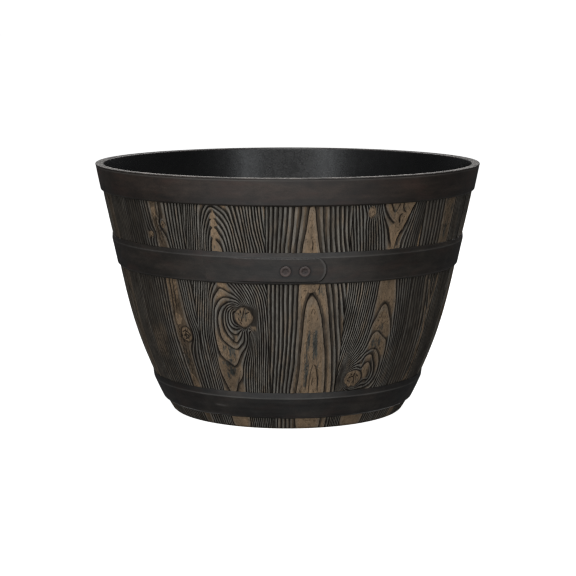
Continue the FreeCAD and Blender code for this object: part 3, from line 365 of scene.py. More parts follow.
def solve_rings(i):
    """Ring number over plank i: the smoothest field that keeps to the drawn rings."""
    P = GRAIN[i]
    a0 = start_of(i)
    x0, z0 = a0 - 5.0, -6.0
    nx, nz = int((PITCH + 10.0) / DX) + 1, int(348.0 / DZ) + 1
    pts = []
    for lv, course in P.get("guides", ()):
        c = sorted(course)
        if isinstance(lv, list):
            ks = sorted(lv)
            v = np.interp([q[0] for q in c], [q[0] for q in ks], [q[1] for q in ks])
            extra = [k for k in ks if c[0][0] < k[0] < c[-1][0]]
            c2 = sorted(set([q[0] for q in c] + [k[0] for k in extra]))
            v = np.interp(c2, [q[0] for q in ks], [q[1] for q in ks])
            a = np.interp(c2, [q[0] for q in c], [q[1] for q in c])
            pts.append(dense([(x, y, t) for x, y, t in zip(a, c2, v)], 1.0))
        else:
            pts.append(dense([(a, y, lv) for y, a in c], 1.0))
    for lv, course in P.get("lines", ()):
        v = lv if isinstance(lv, list) else [lv] * len(course)
        pts.append(dense([(a, y, t) for (a, y), t in zip(course, v)], 1.0))
    pts = np.vstack(pts)
    u, w = (pts[:, 0] - x0) / DX, (pts[:, 1] - z0) / DZ
    ok = (u >= 0) & (u < nx - 1.001) & (w >= 0) & (w < nz - 1.001)
    u, w, val = u[ok], w[ok], pts[ok, 2]
    iu, iw = u.astype(int), w.astype(int)
    fu, fw = u - iu, w - iw
    idx = np.stack([iw * nx + iu, iw * nx + iu + 1, (iw + 1) * nx + iu, (iw + 1) * nx + iu + 1], 1)
    wt = np.stack([(1 - fu) * (1 - fw), fu * (1 - fw), (1 - fu) * fw, fu * fw], 1)
    hx = DX * MMD
    kx, kz = DZ / hx, 3.0 * hx / DZ
    lam = 6.0
    n = nx * nz
    flat = idx.ravel()

    def apply(T):
        g = T.reshape(nz, nx)
        r = np.zeros_like(g)
        dx = g[:, 1:] - g[:, :-1]
        r[:, 1:] += kx * dx
        r[:, :-1] -= kx * dx
        dz = g[1:] - g[:-1]
        r[1:] += kz * dz
        r[:-1] -= kz * dz
        c = (wt * T[idx]).sum(1)
        return r.ravel() + lam * np.bincount(flat, (wt * c[:, None]).ravel(), n)

    b = lam * np.bincount(flat, (wt * val[:, None]).ravel(), n)
    diag = np.full((nz, nx), 2 * kx + 2 * kz)
    diag[:, 0] -= kx
    diag[:, -1] -= kx
    diag[0] -= kz
    diag[-1] -= kz
    diag = diag.ravel() + lam * np.bincount(flat, (wt ** 2).ravel(), n)
    # first guess: along each row between the drawn rings
    T = np.zeros((nz, nx))
    row = np.round(w).astype(int)
    for r in range(nz):
        near = np.abs(row - r) <= 1
        if near.sum() > 1:
            o = np.argsort(u[near])
            T[r] = np.interp(np.arange(nx), u[near][o], val[near][o])
        elif r:
            T[r] = T[r - 1]
    T = blur(blur(T, 4.0, 1), 4.0, 0).ravel()
    res = b - apply(T)
    y = res / diag
    p = y.copy()
    rz = res @ y
    r0 = math.sqrt(b @ b)
    for _ in range(420):
        q = apply(p)
        al = rz / (p @ q)
        T = T + al * p
        res = res - al * q
        if math.sqrt(res @ res) < 5e-5 * r0:
            break
        y = res / diag
        rn = res @ y
        p = y + (rn / rz) * p
        rz = rn
    T = T.reshape(nz, nx)
    T = blur(blur(T, 0.8, 1), 0.8, 0)
    return x0, z0, T


RINGS = {}


def plank(i):
    """Marks of plank i and the map from its face to the plank it was drawn on."""
    if i not in LIKE:
        return GRAIN[i], i, 1.0, 1.0, 0.0, 0.0, start_of(i), start_of(i)
    base, mirror, flip, lift = LIKE[i]
    s, zs = (-1.0 if mirror else 1.0), (-1.0 if flip else 1.0)
    return GRAIN[base], base, s, zs, (HEIGHT if flip else 0.0) + lift, lift, start_of(base), start_of(i)


def to_base(i, phi, z):
    P, base, s, zs, off, lift, sb, si = plank(i)
    c0, c1 = sb + PITCH / 2, si + PITCH / 2
    return c0 + s * (phi - c1), zs * (z - off)


def rings_at(i, phi, z):
    base = plank(i)[1]
    if base not in RINGS:
        RINGS[base] = solve_rings(base)
    x0, z0, T = RINGS[base]
    nz, nx = T.shape
    pb, zb = to_base(i, phi, z)
    u = np.clip((pb - x0) / DX, 0, nx - 1.001)
    w = np.clip((zb - z0) / DZ, 0, nz - 1.001)
    iu, iw = u.astype(int), w.astype(int)
    fu, fw = u - iu, w - iw
    return (T[iw, iu] * (1 - fu) + T[iw, iu + 1] * fu) * (1 - fw) + (T[iw + 1, iu] * (1 - fu) + T[iw + 1, iu + 1] * fu) * fw


def seg_dist(x, y, a, b):
    """Distance from points to a segment."""
    dx, dy = b[0] - a[0], b[1] - a[1]
    t = np.clip(((x - a[0]) * dx + (y - a[1]) * dy) / (dx * dx + dy * dy), 0, 1)
    return np.hypot(x - a[0] - t * dx, y - a[1] - t * dy)


def inside_of(x, y, pts, soft):
    """1 inside a closed outline, 0 outside, with a soft edge."""
    odd = np.zeros(x.shape, bool)
    d = np.full(x.shape, 1e9)
    for a, b in zip(pts, pts[1:] + pts[:1]):
        if a[1] != b[1]:
            odd ^= ((a[1] > y) != (b[1] > y)) & (x < (b[0] - a[0]) * (y - a[1]) / (b[1] - a[1]) + a[0])
        d = np.minimum(d, seg_dist(x, y, a, b))
    return step(np.where(odd, d, -d), -soft, soft)


def stroke_of(x, y, pts, half):
    """A mark along a course that thins out to its ends."""
    run = [0.0]
    for a, b in zip(pts[:-1], pts[1:]):
        run.append(run[-1] + math.hypot(b[0] - a[0], b[1] - a[1]))
    best = np.full(x.shape, 1e9)
    frac = np.zeros(x.shape)
    for k, (a, b) in enumerate(zip(pts[:-1], pts[1:])):
        dx, dy = b[0] - a[0], b[1] - a[1]
        t = np.clip(((x - a[0]) * dx + (y - a[1]) * dy) / (dx * dx + dy * dy), 0, 1)
        d = np.hypot(x - a[0] - t * dx, y - a[1] - t * dy)
        near = d < best
        best = np.where(near, d, best)
        frac = np.where(near, (run[k] + t * (run[k + 1] - run[k])) / run[-1], frac)
    wide = half * (0.35 + 0.65 * np.clip(np.sin(math.pi * frac), 0, 1) ** 0.6)
    return np.exp(-(best / wide) ** 2)


def spot(pb, zb, m, power):
    """Soft oval (angle, height, radii)."""
    return np.exp(-np.abs((pb - m[0]) / m[2]) ** power - np.abs((zb - m[1]) / m[3]) ** power)


def wood_field(i, phi, z, mm_per_deg):
    """Relief and tone of plank i on a grid (rows are heights): depth in mm,
    groove, ridge, brown and grey wash from 0 to 1, and the tone."""
    P = plank(i)[0]
    seed = 50 * i
    loose = 1.0 if i in LIKE else 0.25
    warp = loose * (0.24 * vnoise(phi / 4.2 + 3.1 * i, z / 52.0, seed) + 0.10 * vnoise(phi / 1.9, z / 24.0, seed + 3)) + 0.04 * vnoise(phi / 0.9, z / 15.0, seed + 5) + 0.05 * vnoise(phi / 0.5, z / 6.0, seed + 6)
    T = rings_at(i, phi + warp, z)
    pb, zb = to_base(i, phi, z)
    dphi = abs(phi[0, 1] - phi[0, 0])
    dz = abs(z[1, 0] - z[0, 0])
    kn = np.zeros_like(T)
    kring = np.zeros_like(T)
    for j, (kp, kz, rx, rz, bump) in enumerate(P["knots"]):
        x = (pb - kp) / rx
        y = (zb - kz) / rz
        rho = np.sqrt(x * x + y * y) * (1 + 0.10 * vnoise(pb / 1.3, zb / 6.0, seed + 31))
        T = T + bump * np.exp(-(rho / 1.35) ** 2)
        kn = np.maximum(kn, logistic((rho - 0.96) / 0.05))
        rim = P.get("rim", 1.0) * np.exp(-((rho - 1.03) / 0.09) ** 2) * (0.75 + 0.35 * vnoise(pb / 1.1, zb / 5.0, seed + 33))
        crack = np.zeros_like(T)
        if j == 0 and P.get("cracks"):
            px, pz = (pb - kp) * mm_per_deg, zb - kz
            px = px + 0.5 * vnoise(pb / 0.7, zb / 3.0, seed + 35)
            for line in P["cracks"]:
                for a, b in zip(line[:-1], line[1:]):
                    crack = np.maximum(crack, np.exp(-(seg_dist(px, pz, a, b) / 0.62) ** 2))
        else:
            sw = rho * 1.6 + 0.2 * np.sin(2 * np.arctan2(y, x) + 1.3) + 0.4 * vnoise(pb / 0.9, zb / 4.0, seed + 40 + j)
            crack = np.exp(-((sw - np.round(sw)) / 0.12) ** 2) * (rho < 0.9) * step(vnoise(pb / 0.8, zb / 3.5, seed + 44), -0.35, 0.1) * 0.8
        kring = np.maximum(kring, np.maximum(crack, rim))
    # ring spacing in millimetres, from the slope of the field
    gx = np.gradient(T, axis=1) / (dphi * mm_per_deg)
    gz = np.gradient(T, axis=0) / dz
    sp = 1.0 / np.maximum(np.hypot(gx, gz), 1e-3)
    sp = blur(blur(sp.clip(0, 40), 0.22 / dphi, 1), 1.4 / dz, 0)
    t = T - np.floor(T)
    after, before = t * sp, (1 - t) * sp
    # close rings are half dark and half light, wide ones have a grey slope between
    close = 1 - step(sp, 2.6, 4.8)
    # 1 where a ring runs across the plank, as at the tip of an arch
    lie = blur(blur(np.abs(gz) / np.maximum(np.hypot(gx, gz), 1e-6), 0.3 / dphi, 1), 1.5 / dz, 0) ** 2
    thin = 1 - (1 - THIN.get(plank(i)[1], 1.0) * (1 - 0.3 * lie)) * step(sp, 4.5, 9.0)
    w = np.clip((0.20 + 0.20 * close) * sp, 0.40, 0.95 + 0.3 * close) * (close + (1 - close) * thin) * (1 + 0.22 * vnoise(pb / 1.2, zb / 26.0, seed + 9))
    wb = 0.5 * w * (1 - close) + 0.10 * sp * close
    soft = np.clip(0.085 * sp, 0.18, 0.45)
    groove = np.maximum(logistic((after - w) / (0.55 * soft)), logistic((before - wb) / (0.34 * soft)))
    rw = np.clip((0.345 + 0.095 * close) * sp, 0.6, 2.5) * (1 + 0.18 * vnoise(pb / 1.6, zb / 30.0, seed + 11))
    ridge = step(before, 0.8 * wb, 0.8 * wb + 0.10 * sp.clip(1, 5)) * (1 - step(before, 1.2 * wb + rw, 1.2 * wb + 1.5 * rw + 0.2))
    ridge = ridge * np.clip(0.80 + 0.30 * vnoise(pb / 2.2, zb / 38.0, seed + 13) + 0.22 * vnoise(pb / 0.7, zb / 12.0, seed + 14), 0.3, 1.0)
    slope = np.clip(0.30 * sp, 0.8, 3.0) * (1 - 0.6 * lie)
    wide = step(sp, 5.5, 11.0)
    brown = TAN[plank(i)[1]] * wide * (0.18 + 0.82 * step(after, w + 0.45 * slope, w + 1.2 * slope + 0.4))
    # where the rings are too close to part, they weather to one grey
    part = step(sp, 0.8, 1.7)
    for (sx, sz, rx, rz, a) in P.get("greys", ()):
        part = part * (1 - a * np.exp(-((pb - sx) / rx) ** 4 - ((zb - sz) / rz) ** 4))
    calm = CALM.get(plank(i)[1], 1.0) * (1 + 0.25 * vnoise(pb / 6.0, zb / 70.0, seed + 15))
    groove = groove * part * np.clip(0.55 + 0.45 * calm, 0, 1) * (0.78 + 0.22 * step(sp, 1.4, 2.8))
    ridge = ridge * part * np.clip(calm, 0, 1)
    # plain brown places, then the marks on them
    xm = pb * mm_per_deg + 0.35 * vnoise(pb / 0.8, zb / 5.0, seed + 91)
    zm = zb + 0.5 * vnoise(pb / 0.9, zb / 6.0, seed + 92)
    for pts in P.get("fills", ()):
        q = P.get("fade", 1.0) * inside_of(xm, zm, [(a * mm_per_deg, b) for a, b in pts], 0.55)
        groove, ridge, brown = groove * (1 - q), ridge * (1 - q), np.maximum(brown, q)
    groove = groove * (1 - kn) + kring * kn
    groove = np.maximum(groove, 0.9 * kring * (1 - kn))
    ridge = ridge * (1 - kn)
    brown = np.maximum(brown, kn)
    for half, strength, pts in P.get("strokes", ()):
        q = strength * stroke_of(xm, zm, [(a * mm_per_deg, b) for a, b in pts], half)
        groove = np.maximum(groove, q * (0.85 + 0.3 * vnoise(pb / 0.4, zb / 6.0, seed + 93)).clip(0, 1))
    wash = np.zeros_like(T)
    for m in P.get("washes", ()):
        wash = np.maximum(wash, m[4] * spot(pb + 0.3 * vnoise(pb / 1.1, zb / 12.0, seed + 94), zb + 3 * vnoise(pb / 0.8, zb / 9.0, seed + 95), m, 2.4))
    wash = step(wash + (0.30 * vnoise(pb / 0.24, zb / 15.0, seed + 98) + 0.18 * vnoise(pb / 0.5, zb / 2.6, seed + 99)) * step(wash, 0.04, 0.2), 0.20, 0.78)
    tone = np.full(T.shape, TONE[plank(i)[1]])
    for m in P.get("tones", ()):
        tone = tone * (1 + (m[4] - 1) * spot(pb, zb, m, 4))
    for (sx, sz, rx, rz, a) in P["stains"]:
        q = np.exp(-((pb - sx + 0.35 * vnoise(pb / 1.5, zb / 9, seed + 60)) / rx) ** 2 - ((zb - sz) / rz) ** 2)
        q = q * (0.55 + 0.6 * vnoise(pb / 0.45, zb / 8.0, seed + 61) + 0.35 * vnoise(pb / 0.25, zb / 2.2, seed + 62))
        groove = np.maximum(groove, np.clip(a * q * 1.2, 0, 0.85))
    for (sx, sz, rx, rz, a) in P.get("patches", ()):
        brown = np.maximum(brown, a * np.exp(-((pb - sx) / rx) ** 4 - ((zb - sz) / rz) ** 4))
    bits = vnoise(pb / 0.30, zb / 2.1, seed + 96) + 0.6 * vnoise(pb / 0.16, zb / 4.2, seed + 97)
    for m in P.get("rough", ()):
        groove = np.maximum(groove, m[4] * spot(pb, zb, m, 3) * step(bits, 0.12, 0.75))
    # small pits and checks in the flats, fibres everywhere
    fleck = vnoise(pb / 0.17, zb / 1.5, seed + 71) + 0.5 * vnoise(pb / 0.09, zb / 3.0, seed + 72)
    pit = step(fleck, 0.72, 1.15) * np.clip(brown * 1.2, 0, 1)
    groove = np.maximum(groove, 0.6 * pit)
    fibre = vnoise(pb / 0.22, zb / 34.0, seed + 81) + 0.6 * vnoise(pb / 0.11, zb / 17.0, seed + 82)
    brown = brown * (1 - groove)
    ridge = ridge * (1 - groove)
    mid = np.clip(1 - groove - np.maximum(ridge, brown), 0, 1)
    fine = 0.62 + 0.38 * step(sp, 1.8, 4.5)
    depth = fine * (1.0 * groove + 0.42 * mid) + 0.10 * brown + 0.035 * fibre
    return depth, groove, ridge, brown, wash, tone


# ---------------------------------------------------------------------------
# mesh building
# ---------------------------------------------------------------------------
def sweep_mesh(name, pts, wrap_cols, loop_rows, attrs=None, sharp_rows=(), sharp_caps=True):
    """pts is (columns, rows, 3) in mm. Rows close on themselves if loop_rows;
    open columns or rows are closed by flat end faces."""
    nc, nr = pts.shape[:2]
    idx = np.arange(nc * nr).reshape(nc, nr)
    a = idx if wrap_cols else idx[:-1]
    b = np.roll(idx, -1, 0) if wrap_cols else idx[1:]
    if loop_rows:
        a2, b2 = np.roll(a, -1, 1), np.roll(b, -1, 1)
    else:
        a, a2 = a[:, :-1], a[:, 1:]
        b, b2 = b[:, :-1], b[:, 1:]
    quads = np.stack([a, b, b2, a2], -1).reshape(-1, 4)
    caps = []
    if not wrap_cols:
        caps += [idx[0].copy(), idx[-1][::-1].copy()]
    if not loop_rows:
        caps += [idx[:, 0][::-1].copy(), idx[:, -1].copy()]
    co = pts.reshape(-1, 3)
    p = co[quads]
    vol = np.einsum("ij,ij->i", p[:, 0], np.cross(p[:, 1], p[:, 2])).sum() + np.einsum("ij,ij->i", p[:, 0], np.cross(p[:, 2], p[:, 3])).sum()
    for c in caps:
        q = co[c]
        vol += np.einsum("ij,ij->i", np.broadcast_to(q[0], q[1:-1].shape), np.cross(q[1:-1], q[2:])).sum()
    if vol < 0:
        quads = quads[:, ::-1]
        caps = [c[::-1] for c in caps]
    loops = np.concatenate([quads.ravel()] + caps).astype(np.int32)
    starts = np.concatenate([np.arange(len(quads)) * 4, len(quads) * 4 + np.cumsum([0] + [len(c) for c in caps])[:-1]]).astype(np.int32)
    me = bpy.data.meshes.new(name)
    me.vertices.add(len(co))
    me.vertices.foreach_set("co", (co * MM).astype(np.float32).ravel())
    me.loops.add(len(loops))
    me.loops.foreach_set("vertex_index", loops)
    me.polygons.add(len(starts))
    me.polygons.foreach_set("loop_start", starts)
    me.update(calc_edges=True)
    me.validate()
    me.polygons.foreach_set("use_smooth", np.ones(len(me.polygons), bool))
    ev = np.zeros(len(me.edges) * 2, np.int32)
    me.edges.foreach_get("vertices", ev)
    ev = ev.reshape(-1, 2)
    ec, er = ev // nr, ev % nr
    sharp = np.zeros(len(ev), bool)
    if sharp_caps and not wrap_cols:
        for k in (0, nc - 1):
            sharp |= (ec[:, 0] == k) & (ec[:, 1] == k)
    if sharp_caps and not loop_rows:
        for k in (0, nr - 1):
            sharp |= (er[:, 0] == k) & (er[:, 1] == k)
    for k in sharp_rows:
        k = k % nr
        sharp |= (er[:, 0] == k) & (er[:, 1] == k)
    if sharp.any():
        s = me.attributes.get("sharp_edge") or me.attributes.new("sharp_edge", "BOOLEAN", "EDGE")
        s.data.foreach_set("value", sharp)
    for key, arr in (attrs or {}).items():
        arr = np.asarray(arr, np.float32).reshape(nc * nr, -1)
        if arr.shape[1] == 1:
            me.attributes.new(key, "FLOAT", "POINT").data.foreach_set("value", arr.ravel())
        elif arr.shape[1] == 3:
            me.attributes.new(key, "FLOAT_VECTOR", "POINT").data.foreach_set("vector", arr.ravel())
        else:
            me.attributes.new(key, "FLOAT_COLOR", "POINT").data.foreach_set("color", arr.ravel())
    me.update()
    ob = bpy.data.objects.new(name, me)
    bpy.context.scene.collection.objects.link(ob)
    return ob


def polar(r, phi, z):
    a = np.radians(phi)
    return np.stack(np.broadcast_arrays(r * np.sin(a), -r * np.cos(a), z), -1)


# ---------------------------------------------------------------------------
# materials
# ---------------------------------------------------------------------------
def srgb(r, g, b):
    def f(c):
        c /= 255.0
        return c / 12.92 if c <= 0.04045 else ((c + 0.055) / 1.055) ** 2.4
    return (f(r), f(g), f(b), 1.0)


class Nodes:
    def __init__(self, name):
        self.mat = bpy.data.materials.new(name)
        self.mat.use_nodes = True
        self.t = self.mat.node_tree
        self.t.nodes.clear()
        self.out = self.add("ShaderNodeOutputMaterial")
        self.bsdf = self.add("ShaderNodeBsdfPrincipled")
        self.link(self.bsdf.outputs[0], self.out.inputs[0])

    def add(self, kind, **props):
        n = self.t.nodes.new(kind)
        for k, v in props.items():
            setattr(n, k, v)
        return n

    def link(self, a, b):
        self.t.links.new(a, b)

    def put(self, socket, value):
        if isinstance(value, bpy.types.NodeSocket):
            self.link(value, socket)
        else:
            socket.default_value = value

    def attr(self, name):
        return self.add("ShaderNodeAttribute", attribute_name=name)

    def coords(self):
        return self.add("ShaderNodeTexCoord").outputs["Object"]

    def mapping(self, vec, scale=(1, 1, 1), loc=(0, 0, 0)):
        n = self.add("ShaderNodeMapping")
        self.link(vec, n.inputs["Vector"])
        n.inputs["Scale"].default_value = scale
        n.inputs["Location"].default_value = loc
        return n.outputs[0]

    def noise(self, vec, scale, detail=3.0, rough=0.55, dist=0.0):
        n = self.add("ShaderNodeTexNoise")
        self.link(vec, n.inputs["Vector"])
        n.inputs["Scale"].default_value = scale
        n.inputs["Detail"].default_value = detail
        n.inputs["Roughness"].default_value = rough
        n.inputs["Distortion"].default_value = dist
        return n.outputs[0]

    def voronoi(self, vec, scale, feature="F1"):
        n = self.add("ShaderNodeTexVoronoi", feature=feature)
        self.link(vec, n.inputs["Vector"])
        n.inputs["Scale"].default_value = scale
        return n.outputs["Distance"]

    def span(self, val, a, b, c=0.0, d=1.0, smooth=False):
        n = self.add("ShaderNodeMapRange")
        if smooth:
            n.interpolation_type = "SMOOTHSTEP"
        self.put(n.inputs["Value"], val)
        for k, v in zip(("From Min", "From Max", "To Min", "To Max"), (a, b, c, d)):
            self.put(n.inputs[k], v)
        return n.outputs[0]

    def math(self, op, a, b=0.0, c=None, clamp=False):
        n = self.add("ShaderNodeMath", operation=op, use_clamp=clamp)
        self.put(n.inputs[0], a)
        self.put(n.inputs[1], b)
        if c is not None:
            self.put(n.inputs[2], c)
        return n.outputs[0]

    def mix(self, fac, a, b, blend="MIX"):
        n = self.add("ShaderNodeMix", data_type="RGBA", blend_type=blend)
        self.put(n.inputs["Factor"], fac)
        self.put(n.inputs[6], a)
        self.put(n.inputs[7], b)
        return n.outputs[2]

    def ramp(self, val, stops, interp="LINEAR"):
        n = self.add("ShaderNodeValToRGB")
        n.color_ramp.interpolation = interp
        e = n.color_ramp.elements
        while len(e) < len(stops):
            e.new(0.5)
        for el, (p, c) in zip(e, stops):
            el.position = p
            el.color = c
        self.link(val, n.inputs[0])
        return n.outputs[0]

    def bump(self, height, strength, dist, normal=None):
        n = self.add("ShaderNodeBump")
        n.inputs["Strength"].default_value = strength
        n.inputs["Distance"].default_value = dist
        self.link(height, n.inputs["Height"])
        if normal is not None:
            self.link(normal, n.inputs["Normal"])
        return n.outputs[0]

    def separate(self, col):
        n = self.add("ShaderNodeSeparateColor")
        self.link(col, n.inputs[0])
        return n.outputs

    def set(self, **kw):
        for k, v in kw.items():
            self.put(self.bsdf.inputs[k.replace("_", " ")], v)


def stave_material():
    m = Nodes("stave_wood_brushed")
    grain = m.attr("grain")
    sep = m.separate(grain.outputs["Color"])
    groove, ridge, brown = sep[0], sep[1], sep[2]
    pos = m.coords()
    streak = m.noise(m.mapping(pos, (260, 260, 14)), 1.0, 4, 0.6)
    blotch = m.noise(m.mapping(pos, (22, 22, 9)), 1.0, 3, 0.55)
    speck = m.noise(m.mapping(pos, (900, 900, 240)), 1.0, 2, 0.6)
    flat = m.ramp(blotch, [(0.30, srgb(113, 97, 80)), (0.52, srgb(130, 110, 88)), (0.72, srgb(144, 121, 96))])
    edge = m.ramp(blotch, [(0.30, srgb(106, 103, 97)), (0.55, srgb(117, 113, 106)), (0.75, srgb(126, 119, 109))])
    low = m.ramp(streak, [(0.32, srgb(38, 34, 30)), (0.55, srgb(50, 46, 41)), (0.75, srgb(63, 58, 51))])
    dark = m.ramp(streak, [(0.3, srgb(10, 8, 6)), (0.7, srgb(20, 16, 11))])
    # the flats are mottled, with grey weathered places
    mottle = m.noise(m.mapping(pos, (310, 310, 210)), 1.0, 3, 0.6)
    smear = m.noise(m.mapping(pos, (90, 90, 24)), 1.0, 4, 0.6)
    flat = m.mix(m.span(smear, 0.50, 0.76, 0.0, 0.4), flat, srgb(84, 76, 67))
    flat = m.mix(1.0, flat, m.span(mottle, 0.3, 0.7, 0.84, 1.16), "MULTIPLY")
    flat = m.mix(m.attr("grey").outputs["Fac"], flat, srgb(72, 73, 69))
    c = m.mix(brown, low, flat)
    tan = m.ramp(mottle, [(0.30, srgb(112, 99, 84)), (0.7, srgb(134, 117, 98))])
    hue = m.noise(m.mapping(pos, (120, 120, 9)), 1.0, 3, 0.55)
    warm = m.math("MAXIMUM", m.math("MULTIPLY", brown, 0.9), m.span(hue, 0.5, 0.68, 0.0, 0.75))
    edge = m.mix(warm, edge, tan)
    c = m.mix(ridge, c, edge)
    shade = m.span(streak, 0.3, 0.72, 0.80, 1.14)
    c = m.mix(1.0, c, shade, "MULTIPLY")
    grit = m.span(speck, 0.32, 0.7, 0.86, 1.10)
    c = m.mix(1.0, c, grit, "MULTIPLY")
    c = m.mix(groove, c, dark)
    c = m.mix(1.0, c, m.attr("tone").outputs["Fac"], "MULTIPLY")
    m.set(Base_Color=c)
    rough = m.span(groove, 0.0, 1.0, 0.66, 0.86)
    rough = m.math("ADD", rough, m.span(streak, 0.3, 0.7, -0.06, 0.08))
    m.set(Roughness=rough)
    m.bsdf.inputs["Specular IOR Level"].default_value = 0.10
    h = m.math("ADD", m.math("MULTIPLY", streak, 0.7), m.math("MULTIPLY", speck, 0.3))
    m.set(Normal=m.bump(h, 0.35, 0.0006))
    return m.mat


def hoop_material(name, base, rub_and_highlight, rough0, red=0.6):
    m = Nodes(name)
    strip = m.attr("strip").outputs["Vector"]
    wear_and_highlight = m.attr("wear_and_highlight").outputs["Fac"]
    long_streak = m.noise(m.mapping(strip, (9, 240, 60)), 1.0, 4, 0.55)
    cloud = m.noise(m.mapping(strip, (11, 26, 20)), 1.0, 4, 0.6)
    grit = m.noise(m.mapping(strip, (520, 640, 520)), 1.0, 3, 0.6)
    c = m.ramp(cloud, base)
    c = m.mix(1.0, c, m.span(long_streak, 0.3, 0.7, 0.82, 1.16), "MULTIPLY")
    c = m.mix(1.0, c, m.span(grit, 0.3, 0.7, 0.80, 1.18), "MULTIPLY")
    blot = m.noise(m.mapping(strip, (56, 105, 40), (1.3, 2.2, 0.0)), 1.0, 6, 0.7)
    c = m.mix(1.0, c, m.span(blot, 0.3, 0.7, 0.62, 1.40), "MULTIPLY")
    rust = m.noise(m.mapping(strip, (17, 46, 40), (3.1, 0.7, 0.0)), 1.0, 5, 0.62)
    c = m.mix(m.span(rust, 0.50, 0.70, 0.0, red), c, srgb(59, 40, 33))
    nick = m.noise(m.mapping(strip, (60, 900, 200), (0.4, 1.9, 0.0)), 1.0, 3, 0.6)
    c = m.mix(m.span(nick, 0.66, 0.76, 0.0, 0.5), c, rub_and_highlight)
    # the pale colour marks real nicks and wear, and also painted highlights along the arrises, round the tongue and on
    # the rivet crests
    w = m.math("MULTIPLY", wear_and_highlight, m.span(cloud, 0.34, 0.6, 0.35, 1.0), clamp=True)
    c = m.mix(w, c, rub_and_highlight)
    # painted shade: darker just outside the tongue's edge, round the rivets and along the top hoop's lower edge
    c = m.mix(m.attr("painted_shade").outputs["Fac"], c, srgb(12, 11, 10))
    m.set(Base_Color=c)
    r = m.math("ADD", m.span(cloud, 0.3, 0.7, rough0 - 0.05, rough0 + 0.07), m.span(long_streak, 0.3, 0.7, -0.03, 0.05))
    r = m.math("ADD", r, m.span(blot, 0.3, 0.7, 0.05, -0.05))
    m.set(Roughness=r)
    m.bsdf.inputs["Specular IOR Level"].default_value = 0.5
    h = m.math("ADD", m.math("MULTIPLY", grit, 0.5), m.math("MULTIPLY", long_streak, 0.5))
    m.set(Normal=m.bump(h, 0.3, 0.0004, m.bump(blot, 0.22, 0.0011)))
    return m.mat


def liner_material():
    m = Nodes("liner_plastic_satin")
    pos = m.coords()
    cloud = m.noise(m.mapping(pos, (14, 14, 14)), 1.0, 3, 0.5)
    fine = m.noise(m.mapping(pos, (1500, 1500, 1500)), 1.0, 2, 0.5)
    c = m.ramp(cloud, [(0.3, (0.0024, 0.0025, 0.0027, 1)), (0.7, (0.0044, 0.0044, 0.0045, 1))])
    rim = m.separate(m.attr("rim").outputs["Color"])
    # painted light: the same plastic is made paler lower in the tub
    c = m.mix(rim[2], c, m.ramp(cloud, [(0.3, (0.0100, 0.0101, 0.0104, 1)), (0.7, (0.0165, 0.0163, 0.0162, 1))]))
    xyz = m.add("ShaderNodeSeparateXYZ")
    m.link(pos, xyz.inputs[0])
    # painted light: paler still on the floor, the lower wall and the outside wall
    painted_light_low = m.ramp(cloud, [(0.3, (0.021, 0.0212, 0.0215, 1)), (0.7, (0.033, 0.0328, 0.0325, 1))])
    c = m.mix(m.attr("painted_light_low").outputs["Fac"], c, painted_light_low)
    worn = m.noise(m.mapping(pos, (40, 40, 40)), 1.0, 4, 0.6)
    brown = m.ramp(worn, [(0.30, srgb(30, 26, 24)), (0.5, srgb(40, 35, 32)), (0.68, srgb(52, 45, 41))])
    c = m.mix(rim[0], c, brown)
    # the inner arris of the lip is paler: rubbed wear and painted highlight
    lip_paleness_and_highlight = m.ramp(worn, [(0.30, srgb(58, 56, 54)), (0.5, srgb(79, 76, 73)), (0.68, srgb(102, 98, 94))])
    # painted light and shade: the lip's pale arris is made brighter in front and darker at the back
    lip_paleness_and_highlight = m.mix(1.0, lip_paleness_and_highlight, m.span(xyz.outputs["Y"], -0.21, 0.16, 1.5, 0.5), "MULTIPLY")
    c = m.mix(rim[1], c, lip_paleness_and_highlight)
    m.set(Base_Color=c)
    streak = m.noise(m.mapping(pos, (46, 46, 5)), 1.0, 3, 0.6)
    dust = m.noise(m.mapping(pos, (150, 150, 210)), 1.0, 4, 0.6)
    gloss = m.math("ADD", m.span(cloud, 0.3, 0.7, 0.235, 0.275), m.span(streak, 0.3, 0.7, -0.015, 0.03))
    gloss = m.math("ADD", gloss, m.span(dust, 0.35, 0.7, -0.02, 0.045))
    m.set(Roughness=m.math("ADD", m.math("ADD", gloss, m.math("MULTIPLY", rim[0], 0.22)), m.math("MULTIPLY", rim[1], 0.36)))
    m.bsdf.inputs["Specular IOR Level"].default_value = 0.5
    uneven = m.noise(m.mapping(pos, (42, 42, 30)), 1.0, 5, 0.65)
    m.set(Normal=m.bump(fine, 0.12, 0.0002, m.bump(uneven, 0.10, 0.003)))
    return m.mat


def plug_material():
    m = Nodes("plug_rubber_matte")
    pos = m.coords()
    fine = m.noise(m.mapping(pos, (900, 900, 900)), 1.0, 3, 0.55)
    cloud = m.noise(m.mapping(pos, (120, 120, 120)), 1.0, 3, 0.5)
    m.set(Base_Color=m.ramp(cloud, [(0.3, (0.016, 0.016, 0.0165, 1)), (0.7, (0.028, 0.027, 0.026, 1))]))
    m.set(Roughness=m.span(fine, 0.3, 0.7, 0.62, 0.78))
    m.bsdf.inputs["Specular IOR Level"].default_value = 0.4
    m.set(Normal=m.bump(fine, 0.3, 0.0002))
    return m.mat


